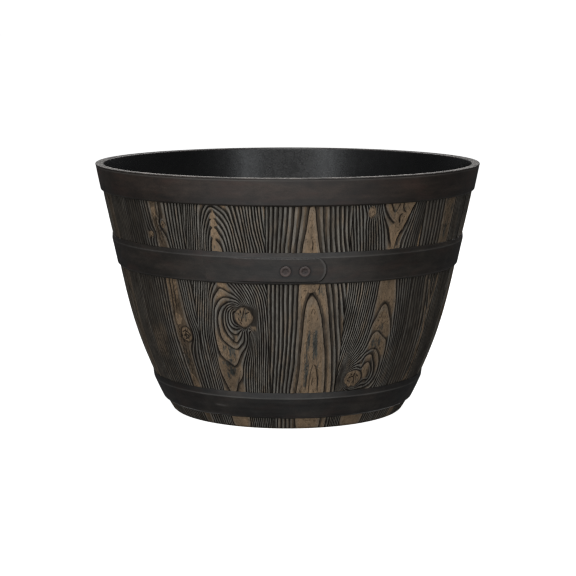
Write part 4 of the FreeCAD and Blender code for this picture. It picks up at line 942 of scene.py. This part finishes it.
def board_material(name, stops, along, scale):
    """Sawn, unfinished boards: rings from stretched noise, saw marks across."""
    m = Nodes(name)
    pos = m.coords()
    s = (scale * 0.06, scale, scale) if along == "X" else (scale, scale * 0.06, scale)
    rings = m.noise(m.mapping(pos, s), 1.0, 3, 0.5, 0.6)
    lines = m.math("FRACT", m.math("MULTIPLY", rings, 9.0))
    tri = m.math("ABSOLUTE", m.math("SUBTRACT", lines, 0.5))
    fib = m.noise(m.mapping(pos, tuple(v * 14 for v in s)), 1.0, 4, 0.6)
    saw = m.noise(m.mapping(pos, (420, 10, 10) if along == "X" else (10, 420, 10)), 1.0, 2, 0.5)
    c = m.ramp(m.math("MULTIPLY", tri, 2.0), stops)
    c = m.mix(1.0, c, m.span(fib, 0.3, 0.7, 0.80, 1.15), "MULTIPLY")
    m.set(Base_Color=c)
    m.set(Roughness=m.span(fib, 0.3, 0.7, 0.68, 0.85))
    m.bsdf.inputs["Specular IOR Level"].default_value = 0.3
    h = m.math("ADD", m.math("MULTIPLY", fib, 0.6), m.math("MULTIPLY", saw, 0.4))
    m.set(Normal=m.bump(h, 0.5, 0.0006))
    return m.mat


# ---------------------------------------------------------------------------
# staves
# ---------------------------------------------------------------------------
mat_stave = stave_material()
NU, NZ = ((241, 332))
z_face = np.linspace(1.0, STAVE_TOP - 0.6, NZ)
mm_deg = math.radians(1.0) * 220.0

for i in range(1, STAVES + 1):
    a0 = start_of(i)
    inset = 0.016
    phi = np.linspace(a0 + inset, a0 + PITCH - inset, NU)
    PH, ZZ = np.meshgrid(phi, z_face)
    depth, groove, ridge, brown, wash, shade = wood_field(i, PH, ZZ, mm_deg)
    R = r_out(ZZ)
    # the long edges are eased, so that a narrow V shows at each seam
    edge = np.minimum(PH - a0, a0 + PITCH - PH) * np.radians(1.0) * R
    ease = 1 - step(edge, 0.0, 1.15 + 0.25 * vnoise(ZZ / 17.0, PH * 0 + 7.3 * i, 900 + i))
    depth = depth * (1 - ease) + (0.35 * depth + 1.55) * ease
    groove = np.maximum(groove, 0.92 * ease)
    # worn arris at the foot and at the top
    foot = 1 - step(ZZ, 0.0, 4.0 + 2.0 * vnoise(PH / 2.3, PH * 0, 700 + i))
    depth = depth + 0.5 * foot
    groove = np.maximum(groove, 0.35 * foot)
    ro = R - depth
    # the rest of the section: top end, inner face with the croze, foot end
    zi = np.concatenate([np.linspace(STAVE_TOP - 0.9, CROZE_Z1 + 0.3, 20), [CROZE_Z1]])
    zl = np.concatenate([[CROZE_Z0], np.linspace(CROZE_Z0 - 0.3, 0.9, 5)])
    rest = [(r_out(STAVE_TOP) - 0.9, STAVE_TOP), (r_in(STAVE_TOP) + 0.9, STAVE_TOP)]
    rest += [(float(r_in(z)), z) for z in zi]
    rest += [(float(r_in(CROZE_Z1)) + CROZE_DEPTH, CROZE_Z1), (float(r_in(CROZE_Z0)) + CROZE_DEPTH, CROZE_Z0)]
    rest += [(float(r_in(z)), z) for z in zl]
    rest += [(float(r_in(0)) + 0.9, 0.0), (float(r_out(0)) - 1.3, 0.0)]
    rest = np.array(rest, float)
    n_rest = len(rest)
    rr = np.concatenate([ro.T, np.broadcast_to(rest[:, 0], (NU, n_rest))], 1)
    zz = np.concatenate([ZZ.T, np.broadcast_to(rest[:, 1], (NU, n_rest))], 1)
    pp = np.broadcast_to(phi[:, None], rr.shape)
    inner = np.zeros_like(rr)
    inner[:, NZ:] = 1
    # straight sawn grain on the inner face and the ends
    fib = vnoise(pp / 0.5, zz / 60.0, 500 + i) + 0.6 * vnoise(pp / 0.2, zz / 25.0, 520 + i)
    cut = np.where(np.abs(fib) < 0.16, 0.55, 0.0)
    rr = rr + inner * 0.05 * np.clip(fib, -1, 1)
    grain = np.zeros(rr.shape + (4,), np.float32)
    grain[:, :NZ, 0], grain[:, :NZ, 1], grain[:, :NZ, 2], grain[:, :NZ, 3] = groove.T, ridge.T, brown.T, 1.0
    grey = np.zeros(rr.shape)
    grey[:, :NZ] = wash.T
    grain[:, NZ:, 0] = 0.25 + cut[:, NZ:]
    grain[:, NZ:, 2] = 0.7
    tone = np.full(rr.shape, TONE[plank(i)[1]])
    # painted shade: the foot of the plank, below 12 to 22 mm, is made a tenth darker
    tone[:, :NZ] = (shade * (0.90 + 0.10 * step(ZZ, 12.0, 22.0))).T
    ob = sweep_mesh("stave_%02d_plank" % i, polar(rr, pp, zz), False, True, dict(grain=grain, tone=tone, grey=grey),
                    sharp_rows=(NZ + 1, NZ + 1 + len(zi), NZ + 2 + len(zi), NZ + 3 + len(zi), NZ + 4 + len(zi), -1, -2))
    ob.data.materials.append(mat_stave)
    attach(ob, "barrel")
    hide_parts("stave_%02d" % i)

# ---------------------------------------------------------------------------
# hoops and rivets
# ---------------------------------------------------------------------------
mat_hoop = hoop_material("hoop_iron_dark", [(0.30, srgb(25, 22, 19)), (0.5, srgb(34, 30, 26)), (0.66, srgb(45, 39, 34))], srgb(66, 63, 60), 0.44, 0.4)
mat_top = hoop_material("hoop_iron_brown", [(0.30, srgb(28, 22, 18)), (0.5, srgb(37, 30, 25)), (0.66, srgb(48, 39, 33))], srgb(66, 62, 58), 0.44, 0.5)
mat_black = hoop_material("hoop_iron_black", [(0.30, srgb(24, 22, 20)), (0.5, srgb(32, 30, 28)), (0.66, srgb(44, 40, 36))], srgb(76, 74, 71), 0.40, 0.25)
mat_rivet = hoop_material("rivet_iron_dark", [(0.30, srgb(34, 28, 27)), (0.5, srgb(44, 36, 34)), (0.66, srgb(54, 43, 40))], srgb(74, 62, 58), 0.5)


def hoop_lap(name):
    s = HOOPS[name]
    z0, z1, z2, z3 = s["z"]
    k = 235.0 / (float(r_out(0.5 * (z1 + z2))) + s["proud"])
    tz0 = z1 + 1.6
    tz1 = z2 - (0.7 if z3 < STAVE_TOP - 10 else 3.0)
    return dict(k=k, tz0=tz0, tz1=tz1, mid=0.5 * (tz0 + tz1), riv=0.5 * (tz0 + tz1) - 1.0, start=s["lap"] - 20.0 * k, end=s["lap"] + 12.0 * k)


for name, s in HOOPS.items():
    z0, z1, z2, z3 = s["z"]
    proud, lap = s["proud"], s["lap"]
    L = hoop_lap(name)
    d_f = 0.11
    fine = np.arange(lap - 26.0, lap + 17.0, d_f)
    rest_n = int((360.0 - (fine[-1] - fine[0])) / (0.55))
    phis = np.concatenate([fine, np.linspace(fine[-1], fine[0] + 360.0, rest_n + 2)[1:-1]])
    top = z3 > STAVE_TOP - 10
    zo = np.unique(np.round(np.concatenate([
        np.linspace(z0, z1, 8), np.linspace(z1 - 1.5, z1 + 2.5, 11), np.linspace(z1, z2, 40),
        np.linspace(z2 - 3.5, min(z2 + 1.5, z3), 13), np.linspace(z2, z3, 9 if not top else 4)]), 3))
    PH, ZZ = np.meshgrid(phis, zo, indexing="ij")
    low_t, high_t = HOOP_GAP + 0.55, (HOOP_GAP + 0.55 if not top else proud)
    # section of the strip, its arrises eased
    fine_z = np.linspace(z0, z3, 600)
    sec = np.interp(fine_z, [z0, z1, z2, z3], [low_t, proud, proud, high_t])
    dzf = fine_z[1] - fine_z[0]
    r = int(1.6 / dzf)
    kern = np.exp(-0.5 * (np.arange(-r, r + 1) * dzf / 0.55) ** 2)
    kern /= kern.sum()
    sec = np.convolve(np.pad(sec, r, mode="reflect", reflect_type="odd"), kern, mode="valid")
    H = np.interp(ZZ, fine_z, sec)
    # the lapped tongue, with its rounded end
    rm = float(r_out(L["mid"])) + proud + 1.2
    arc = np.radians(PH - lap) * rm
    s_end = math.radians(L["end"] - lap) * rm
    ht = 0.5 * (L["tz1"] - L["tz0"])
    q = (ZZ - L["mid"]) / ht
    # end outline: an arc that meets the long edges with rounded corners
    end_x = s_end - 8.0 * np.abs(np.clip(q, -1, 1)) ** 2.3
    d_end = end_x - arc
    d_side = ht - np.abs(ZZ - L["mid"])
    corner = 3.2
    cx, cz = np.clip(corner - d_end, 0, None), np.clip(corner - d_side, 0, None)
    inside = np.minimum(np.minimum(d_end, d_side), corner - np.hypot(cx, cz))
    begin = step(PH, L["start"], L["start"] + 9.0 * L["k"])
    tongue = step(inside, -0.15, 0.75) * begin
    tongue[(PH > lap + 60) | (PH < lap - 60)] = 0
    by_lap = begin * (np.abs(PH - lap) < 60)
    # a paler line round the tongue's edge, rubbed wear and painted highlight, and just outside it a painted shadow
    rim = np.exp(-((np.minimum(d_end, inside + 4.0) - 2.3) / 1.5) ** 2) * by_lap * (d_side > 0.3)
    painted_shade = 0.9 * np.exp(-((inside + 0.55) / 0.6) ** 2) * by_lap
    H = H + 1.3 * tongue
    # slight unevenness of a strip bent by hand
    sx = np.radians(PH) * 230.0
    H = H + 0.10 * vnoise(sx / 38.0, ZZ / 16.0, 21) + 0.045 * vnoise(sx / 11.0, ZZ / 7.0, 22)
    # painted shadow: a dark ring round each rivet, set towards the lower right
    for dphi in (-0.6, 5.2):
        ra = np.hypot(np.radians(PH - lap - dphi * L["k"]) * rm - 0.5, ZZ - L["riv"] + 0.6)
        painted_shade = np.maximum(painted_shade, 0.7 * np.exp(-((ra - 8.0) / 1.2) ** 2) * (np.abs(PH - lap) < 60))
    # paler lines along the arrises: rubbed wear and painted highlight; the scuff below is real wear
    wear_and_highlight = np.exp(-((ZZ - z2) / 0.9) ** 2) + (0.35 if name == "hoop_bottom" else 0.7) * np.exp(-((ZZ - z1) / 0.9) ** 2) + 0.95 * rim
    if name == "hoop_bottom":
        # a scuff, rubbed bright
        turn = (PH + 29.2 + 180.0) % 360.0 - 180.0
        wear_and_highlight = wear_and_highlight + 1.3 * np.exp(-(turn / 2.5) ** 4 - ((ZZ - 31.4 + 0.18 * turn) / 0.8) ** 2) * (0.7 + 0.3 * vnoise(sx / 2.0, ZZ / 1.5, 26))
    wear_and_highlight = np.clip(wear_and_highlight + 0.12 * np.exp(-((ZZ - z0) / 0.8) ** 2), 0, 1)
    if top:
        # painted shade: a darker band along the lower edge
        painted_shade = np.maximum(painted_shade, (0.26 + 0.16 * vnoise(sx / 24.0, ZZ / 40.0, 25)) * (1 - step(ZZ, 307.5, 312.0)))
    ro = r_out(ZZ) + H
    # hammered edges
    ripple = 0.45 * vnoise(sx / 3.2, ZZ * 0, 23) + 0.3 * vnoise(sx / 9.0, ZZ * 0, 24)
    ZZ = ZZ + ripple * ((0 if top else 1) * (1 - step(z3 - ZZ, 0.0, 2.4)) + 0.6 * (1 - step(ZZ - z0, 0.0, 1.6)))
    zi = np.linspace(z3, z0, 7)
    ri = np.broadcast_to(r_out(zi) + HOOP_GAP, (len(phis), 7))
    rr = np.concatenate([ro, ri], 1)
    zz = np.concatenate([ZZ, np.broadcast_to(zi, ri.shape)], 1)
    pp = np.broadcast_to(phis[:, None], rr.shape)
    strip = np.stack([np.radians(pp) * 0.23 + (1.7 if name == "hoop_top" else 3.9 if name == "hoop_bottom" else 0.0), zz * MM, np.zeros_like(zz)], -1)
    w_all = np.concatenate([wear_and_highlight, np.zeros_like(ri)], 1)
    d_all = np.concatenate([painted_shade, np.zeros_like(ri)], 1)
    ob = sweep_mesh(name + "_strip", polar(rr, pp, zz), True, True, dict(strip=strip, wear_and_highlight=w_all, painted_shade=d_all),
                    sharp_rows=(len(zo) - 1, len(zo), 0, -1))
    ob.data.materials.append({"hoop_bottom": mat_black, "hoop_top": mat_top}.get(name, mat_hoop))
    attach(ob, "barrel")
    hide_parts(name)

    # rivets: dished heads, a little uneven, on the tongue
    slope = float(r_out(L["riv"] + 4) - r_out(L["riv"] - 4)) / 8.0
    nrm = math.hypot(1.0, slope)
    heads = []
    seg = 72
    prof = np.array([(0.12, -3.4), (2.9, -3.4), (2.95, -0.6), (3.0, -0.3), (7.0, -0.3), (7.3, 0.0), (7.35, 0.5), (7.3, 1.0), (7.14, 1.48),
                     (6.88, 1.82), (6.5, 2.04), (6.0, 2.15), (5.4, 2.18), (4.85, 2.14), (4.35, 2.04), (3.95, 1.9), (3.6, 1.74), (3.25, 1.6), (2.8, 1.5),
                     (2.2, 1.44), (1.5, 1.42), (0.8, 1.43), (0.12, 1.44)])
    vs, at_w, at_s = [], [], []
    for j, dphi in enumerate((-0.6, 5.2)):
        ph = lap + dphi * L["k"]
        ang = np.linspace(0, 2 * math.pi, seg, endpoint=False)
        A, P = np.meshgrid(ang, np.arange(len(prof)), indexing="ij")
        pr, ph_h = prof[:, 0][P], prof[:, 1][P]
        wob = 1 + 0.012 * np.sin(2 * A + j) + 0.008 * np.sin(5 * A + 2.0 * j + 0.5)
        pr = pr * np.where(ph_h > 0, wob, 1.0)
        ph_h = ph_h + np.where(ph_h > 0.4, 0.06 * np.sin(3 * A + 1.7 * j) + 0.04 * np.sin(7 * A + j), 0)
        base = polar(float(r_out(L["riv"])) + proud + 1.3, ph, L["riv"])
        a = math.radians(ph)
        n = np.array([math.sin(a), -math.cos(a), -slope]) / nrm
        u = np.array([math.cos(a), math.sin(a), 0.0])
        v = np.cross(n, u)
        pts = base + pr[..., None] * (np.cos(A)[..., None] * u + np.sin(A)[..., None] * v) + ph_h[..., None] * n
        vs.append(pts)
        # the crest of each rivet head is paler: rubbed wear and painted highlight
        at_w.append(np.exp(-((prof[:, 0] - 5.4) / 1.5) ** 4)[P] * (ph_h > 0.5))
        at_s.append(np.stack([0.004 * np.cos(A) * pr / 4 + 0.7 * j, 0.004 * np.sin(A) * pr / 4, np.zeros_like(pr)], -1))
    pair = []
    for j in range(2):
        pair.append(sweep_mesh("%s_rivet_%d" % (name, j + 1), vs[j], True, False, dict(strip=at_s[j], wear_and_highlight=at_w[j]), sharp_caps=False))
    for o in pair:
        o.data.materials.append(mat_rivet)
        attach(o, "barrel")
        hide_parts(name + "_rivets")

# ---------------------------------------------------------------------------
# lining and drain plug
# ---------------------------------------------------------------------------
mat_liner = liner_material()
ZW, FLOOR0, FLOOR1 = 54.0, 38.0, 40.2
LIP_IN = RIM_R - RIM_WIDTH


def r_liner_in(z):
    z = np.asarray(z, float)
    return r_liner(z) - 1.7 - (float(r_liner(STAVE_TOP)) - 1.7 - LIP_IN) * (z - ZW) / (STAVE_TOP - ZW)


def corner_arc(fn, z_start, floor_z, n):
    lean = math.atan(float(fn(z_start + 2.0) - fn(z_start - 2.0)) / 4.0)
    radius = ((z_start - floor_z) / math.cos(lean)) / math.tan(0.5 * (0.5 * math.pi - lean))
    cx = float(fn(z_start)) - radius * math.cos(lean)
    cz = z_start + radius * math.sin(lean)
    a = np.linspace(lean, 0.5 * math.pi, n)
    return [(cx + radius * math.cos(t), cz - radius * math.sin(t)) for t in a]


sec = []
zs = np.linspace(ZW, STAVE_TOP, 26)
sec += [(float(r_liner(z)), z) for z in zs]
sec += [(RIM_R - 5.0, STAVE_TOP), (RIM_R - 0.6, STAVE_TOP)]
sec += [(RIM_R - 0.15, STAVE_TOP + 0.12), (RIM_R, STAVE_TOP + 0.45), (RIM_R, HEIGHT - 1.0)]
sec += [(RIM_R - 1.0 + 1.0 * math.cos(t), HEIGHT - 1.0 + 1.0 * math.sin(t)) for t in np.radians([20, 40, 60, 80])]
sec += [(RIM_R - 1.6, HEIGHT), (RIM_R - 3.5, HEIGHT - 0.02), (RIM_R - 6.0, HEIGHT - 0.05), (LIP_IN + 3.2, HEIGHT - 0.06), (LIP_IN + 1.7, HEIGHT - 0.1)]
sec += [(LIP_IN + 1.1, HEIGHT - 0.25), (LIP_IN + 0.62, HEIGHT - 0.55), (LIP_IN + 0.25, HEIGHT - 1.0), (LIP_IN + 0.05, HEIGHT - 1.7)]
sec += [(float(r_liner_in(z)), z) for z in np.linspace(HEIGHT - 2.8, ZW + 0.9, 40)]
sec += corner_arc(r_liner_in, ZW + 0.6, FLOOR1, 12)
sec += [(r, FLOOR1) for r in np.linspace(sec[-1][0] - 4, 12.0, 24)]
sec += [(10.9, FLOOR1 - 0.15), (10.2, FLOOR1 - 0.7), (10.02, FLOOR0 + 0.5), (10.1, FLOOR0)]
sec += [(r, FLOOR0) for r in np.linspace(30.0, 150.0, 6)]
sec += list(reversed(corner_arc(r_liner, ZW, FLOOR0, 12)))[:-1]
sec = np.array(sec, float)
n_l = 480
ph = np.linspace(0, 360, n_l, endpoint=False)
A, RR = np.meshgrid(ph, sec[:, 0], indexing="ij")
ZZ = np.broadcast_to(sec[:, 1], RR.shape)
# a thin moulding is never quite round or flat
wall = step(ZZ, 60, 110) * (1 - step(ZZ, 300, 330))
ca, sa = np.cos(np.radians(A)), np.sin(np.radians(A))
ripple = 0.10 * vnoise(3.0 * ca + 9.1, ZZ / 60.0 + 3.0 * sa, 61) * wall
floor_mask = ((ZZ > FLOOR1 - 0.05) & (ZZ < FLOOR1 + 0.05) & (RR < 165)).astype(float)
rings = 0.18 * np.sin(RR / 9.0) * floor_mask * step(RR, 22, 34) * (1 - step(RR, 120, 140))
rim = np.zeros(RR.shape + (4,), np.float32)
rim[..., 0] = step(RR, LIP_IN - 0.3, LIP_IN + 0.8) * step(ZZ, STAVE_TOP - 1.0, STAVE_TOP)
# second channel: the lip's pale inner arris, rubbed wear and painted highlight
rim[..., 1] = step(ZZ, HEIGHT - 0.5, HEIGHT - 0.1) * step(RR, LIP_IN - 0.1, LIP_IN + 0.8)
# painted light: the third channel and painted_light_low make the plastic paler lower in the tub and on its outside
rim[..., 2] = 1 - step(ZZ, 215.0, 288.0)
painted_light_low = 1 - step(ZZ, 200.0, 236.0)
painted_light_low[:, :len(zs)] = 1.0
ob = sweep_mesh("liner_tub", polar(RR + ripple, A, ZZ + rings), True, True, dict(rim=rim, painted_light_low=painted_light_low))
ob.data.materials.append(mat_liner)
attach(ob, "liner")
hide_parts("liner")

mat_plug = plug_material()
zp = FLOOR1
prof = [(0.15, 33.0), (7.6, 33.0), (7.95, 33.25), (8.6, 34.8), (9.9, 37.4), (9.93, zp - 0.2), (9.93, zp + 0.02), (14.6, zp + 0.03), (14.9, zp + 0.2), (15.0, zp + 0.5), (15.0, zp + 1.9),
        (14.85, zp + 2.5), (14.3, zp + 2.92), (13.4, zp + 3.0), (9.0, zp + 3.05), (6.2, zp + 3.1), (5.1, zp + 3.35), (4.55, zp + 3.9), (4.25, zp + 5.2), (4.05, zp + 6.6), (4.2, zp + 7.6), (4.75, zp + 8.6),
        (5.5, zp + 9.7), (5.95, zp + 10.9), (6.0, zp + 11.6), (5.75, zp + 12.7), (5.1, zp + 13.8), (4.2, zp + 14.6), (3.0, zp + 14.95), (1.6, zp + 15.0), (0.15, zp + 15.0)]
prof = np.array(prof, float)
n_p = 72
A, RR = np.meshgrid(np.linspace(0, 360, n_p, endpoint=False), prof[:, 0], indexing="ij")
ZZ = np.broadcast_to(prof[:, 1], RR.shape)
grip = np.exp(-((ZZ - (zp + 11.2)) / 2.0) ** 2) * (RR > 4.5)
RR = RR - 0.22 * grip * (0.5 + 0.5 * np.cos(np.radians(A) * 18))
ob = sweep_mesh("drain_plug_stopper", polar(RR, A, ZZ), True, False, sharp_caps=False)
ob.data.materials.append(mat_plug)
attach(ob, "drain_plug")
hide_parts("drain_plug")

# ---------------------------------------------------------------------------
# bottom boards and their dowels keep their own shape and get sawn wood
# ---------------------------------------------------------------------------
mat_board = board_material("head_wood_sawn", [(0.0, srgb(78, 58, 40)), (0.35, srgb(118, 92, 64)), (1.0, srgb(150, 122, 90))], "X", 26.0)
mat_dowel = board_material("dowel_wood_turned", [(0.0, srgb(150, 120, 84)), (0.5, srgb(182, 152, 112)), (1.0, srgb(200, 172, 132))], "Y", 160.0)
for n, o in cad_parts.items():
    if n.startswith("head_board"):
        o.data.materials.clear()
        o.data.materials.append(mat_board)
    elif n == "head_dowels":
        o.data.materials.clear()
        o.data.materials.append(mat_dowel)

# ---------------------------------------------------------------------------
# floor, light, camera
# ---------------------------------------------------------------------------
floor = sweep_mesh("studio_floor", np.stack([
    np.stack([r * np.cos(np.linspace(0, 2 * math.pi, 128, endpoint=False)), r * np.sin(np.linspace(0, 2 * math.pi, 128, endpoint=False)), np.full(128, zz)], -1)
    for r, zz in ((1.0, -0.2), (600.0, -0.2), (3000.0, -0.2), (40000.0, -0.2), (40000.0, -30.0), (1.0, -30.0))], 1), True, False, sharp_caps=False)
fm = Nodes("floor_pale")
fcloud = fm.noise(fm.mapping(fm.coords(), (2.0, 2.0, 2.0)), 1.0, 3, 0.5)
fm.set(Base_Color=fm.ramp(fcloud, [(0.3, (0.19, 0.19, 0.19, 1)), (0.7, (0.21, 0.21, 0.21, 1))]))
fm.set(Roughness=fm.span(fcloud, 0.3, 0.7, 0.85, 0.95))
fm.bsdf.inputs["Specular IOR Level"].default_value = 0.1
f_len = fm.add("ShaderNodeVectorMath")
f_len.operation = "LENGTH"
fm.link(fm.coords(), f_len.inputs[0])
# painted shadow: the floor's glow is almost off under the pot, inside 138 mm
floor_glow_painted_shadow = fm.ramp(f_len.outputs["Value"], [(0.138, (0.012, 0.012, 0.012, 1)), (0.150, (1, 1, 1, 1))])
fm.link(floor_glow_painted_shadow, fm.bsdf.inputs["Emission Color"])
fm.bsdf.inputs["Emission Strength"].default_value = 0.985
floor.data.materials.append(fm.mat)
n_b = 128
ring = np.linspace(0, 2 * math.pi, n_b, endpoint=False)
backdrop = sweep_mesh("studio_backdrop", np.stack([
    np.stack([r * np.cos(ring), r * np.sin(ring), np.full(n_b, zz)], -1)
    for r, zz in ((39000.0, -0.1), (39000.0, 12000.0), (30000.0, 24000.0), (12000.0, 32000.0), (10.0, 34000.0), (10.0, 34100.0), (12100.0, 32100.0), (30100.0, 24100.0), (39100.0, 12100.0), (39100.0, -0.1))], 1), True, True, sharp_caps=False)
bm_ = Nodes("backdrop_pale")
bcloud = bm_.noise(bm_.mapping(bm_.coords(), (0.1, 0.1, 0.1)), 1.0, 2, 0.5)
bm_.set(Base_Color=bm_.ramp(bcloud, [(0.3, (0.19, 0.19, 0.19, 1)), (0.7, (0.21, 0.21, 0.21, 1))]))
bm_.bsdf.inputs["Roughness"].default_value = 0.95
bm_.bsdf.inputs["Emission Color"].default_value = (1, 1, 1, 1)
bm_.bsdf.inputs["Emission Strength"].default_value = 1.0
backdrop.data.materials.append(bm_.mat)
for o in (floor, backdrop):
    o.visible_diffuse = False
    o.visible_glossy = False
    o.visible_shadow = False

world = bpy.data.worlds.new("studio")
bpy.context.scene.world = world
world.use_nodes = True
wt = world.node_tree
wt.nodes.clear()
w_out = wt.nodes.new("ShaderNodeOutputWorld")
w_bg = wt.nodes.new("ShaderNodeBackground")
w_tc = wt.nodes.new("ShaderNodeTexCoord")
w_sep = wt.nodes.new("ShaderNodeSeparateXYZ")
wt.links.new(w_tc.outputs["Generated"], w_sep.inputs[0])
w_map = wt.nodes.new("ShaderNodeMapRange")
wt.links.new(w_sep.outputs["Z"], w_map.inputs["Value"])
w_map.inputs["From Min"].default_value = -1.0
w_map.inputs["From Max"].default_value = 1.0


def sky_ramp(stops):
    """Brightness against the direction's z."""
    n = wt.nodes.new("ShaderNodeValToRGB")
    e = n.color_ramp.elements
    while len(e) < len(stops):
        e.new(0.5)
    for el, (p, v) in zip(e, stops):
        el.position = 0.5 + 0.5 * p
        cool = 1.0 if abs(p) < 0.1 else 0.25
        el.color = ((1 - 0.05 * cool) * v, v, (1 + 0.07 * cool) * v, 1)
    wt.links.new(w_map.outputs[0], n.inputs[0])
    return n.outputs[0]


back = sky_ramp([(-1, 0.04), (-0.5, 0.07), (-0.15, 0.06), (0, 0.055), (0.2, 0.065), (0.6, 0.12), (1, 0.25)])
front = sky_ramp([(-1, 0.06), (-0.82, 0.15), (-0.64, 0.75), (-0.5, 1.02), (-0.25, 1.05), (0, 1.4), (0.12, 0.8), (0.24, 0.22), (0.5, 0.2), (0.8, 0.15), (1, 0.25)])
w_f = wt.nodes.new("ShaderNodeMapRange")
w_f.interpolation_type = "SMOOTHSTEP"
w_dot = wt.nodes.new("ShaderNodeVectorMath")
w_dot.operation = "DOT_PRODUCT"
wt.links.new(w_tc.outputs["Generated"], w_dot.inputs[0])
w_dot.inputs[1].default_value = (math.sin(math.radians(-7.0)), -math.cos(math.radians(-7.0)), 0.0)
wt.links.new(w_dot.outputs["Value"], w_f.inputs["Value"])
for k, v in zip(("From Min", "From Max", "To Min", "To Max"), (0.22, 0.95, 0.0, 1.0)):
    w_f.inputs[k].default_value = v
w_mix = wt.nodes.new("ShaderNodeMix")
w_mix.data_type = "RGBA"
wt.links.new(w_f.outputs[0], w_mix.inputs["Factor"])
wt.links.new(back, w_mix.inputs[6])
wt.links.new(front, w_mix.inputs[7])
wt.links.new(w_mix.outputs[2], w_bg.inputs["Color"])
w_bg.inputs["Strength"].default_value = 1.0
wt.links.new(w_bg.outputs[0], w_out.inputs[0])


def softbox(name, az, el, dist, sx, sy, power, target=(0, 0, 0.19)):
    d = bpy.data.lights.new(name, "AREA")
    d.shape = "RECTANGLE"
    d.size, d.size_y = sx, sy
    d.energy = power
    o = bpy.data.objects.new(name, d)
    a, b = math.radians(az), math.radians(el)
    t = Vector(target)
    o.location = t + dist * Vector((math.sin(a) * math.cos(b), -math.cos(a) * math.cos(b), math.sin(b)))
    o.rotation_mode = "QUATERNION"
    o.rotation_quaternion = (t - o.location).to_track_quat("-Z", "Y")
    o.visible_camera = False
    bpy.context.scene.collection.objects.link(o)
    return o


softbox("key_front", -5, 46, 2.8, 1.8, 1.1, 51)
strips = [softbox("strip_right", 28, 15, 2.7, 0.62, 1.0, 5.0), softbox("strip_left", -28, 15, 2.7, 0.62, 1.0, 4.9)]
for o in strips:
    o.data.color = (0.93, 0.97, 1.0)
softbox("fill_back", 180, 38, 3.0, 3.0, 1.2, 40)
softbox("fill_back_right", 138, 44, 3.0, 1.4, 1.0, 18)
softbox("fill_back_left", -138, 44, 3.0, 1.4, 1.0, 18)
softbox("bounce_back", 180, -42, 3.0, 1.7, 1.1, 6)
cam = bpy.data.cameras.new("camera")
cam.sensor_fit = "HORIZONTAL"
cam.sensor_width = 36.0
cam.lens = 1872.8 / 576.0 * 36.0
cam.clip_start, cam.clip_end = 0.05, 200.0
cam_ob = bpy.data.objects.new("camera", cam)
cam_ob.location = (0.0006, -2.5428, 0.5409)
cam_ob.rotation_euler = (math.radians(90.0 - 8.478), 0.0, 0.0)
bpy.context.scene.collection.objects.link(cam_ob)
bpy.context.scene.camera = cam_ob

bpy.context.scene.cycles.filter_width = 1.25
bpy.context.scene.view_settings.view_transform = "Standard"
bpy.context.scene.view_settings.look = "None"
bpy.context.scene.view_settings.exposure = 0.0
bpy.context.scene.view_settings.gamma = 1.0
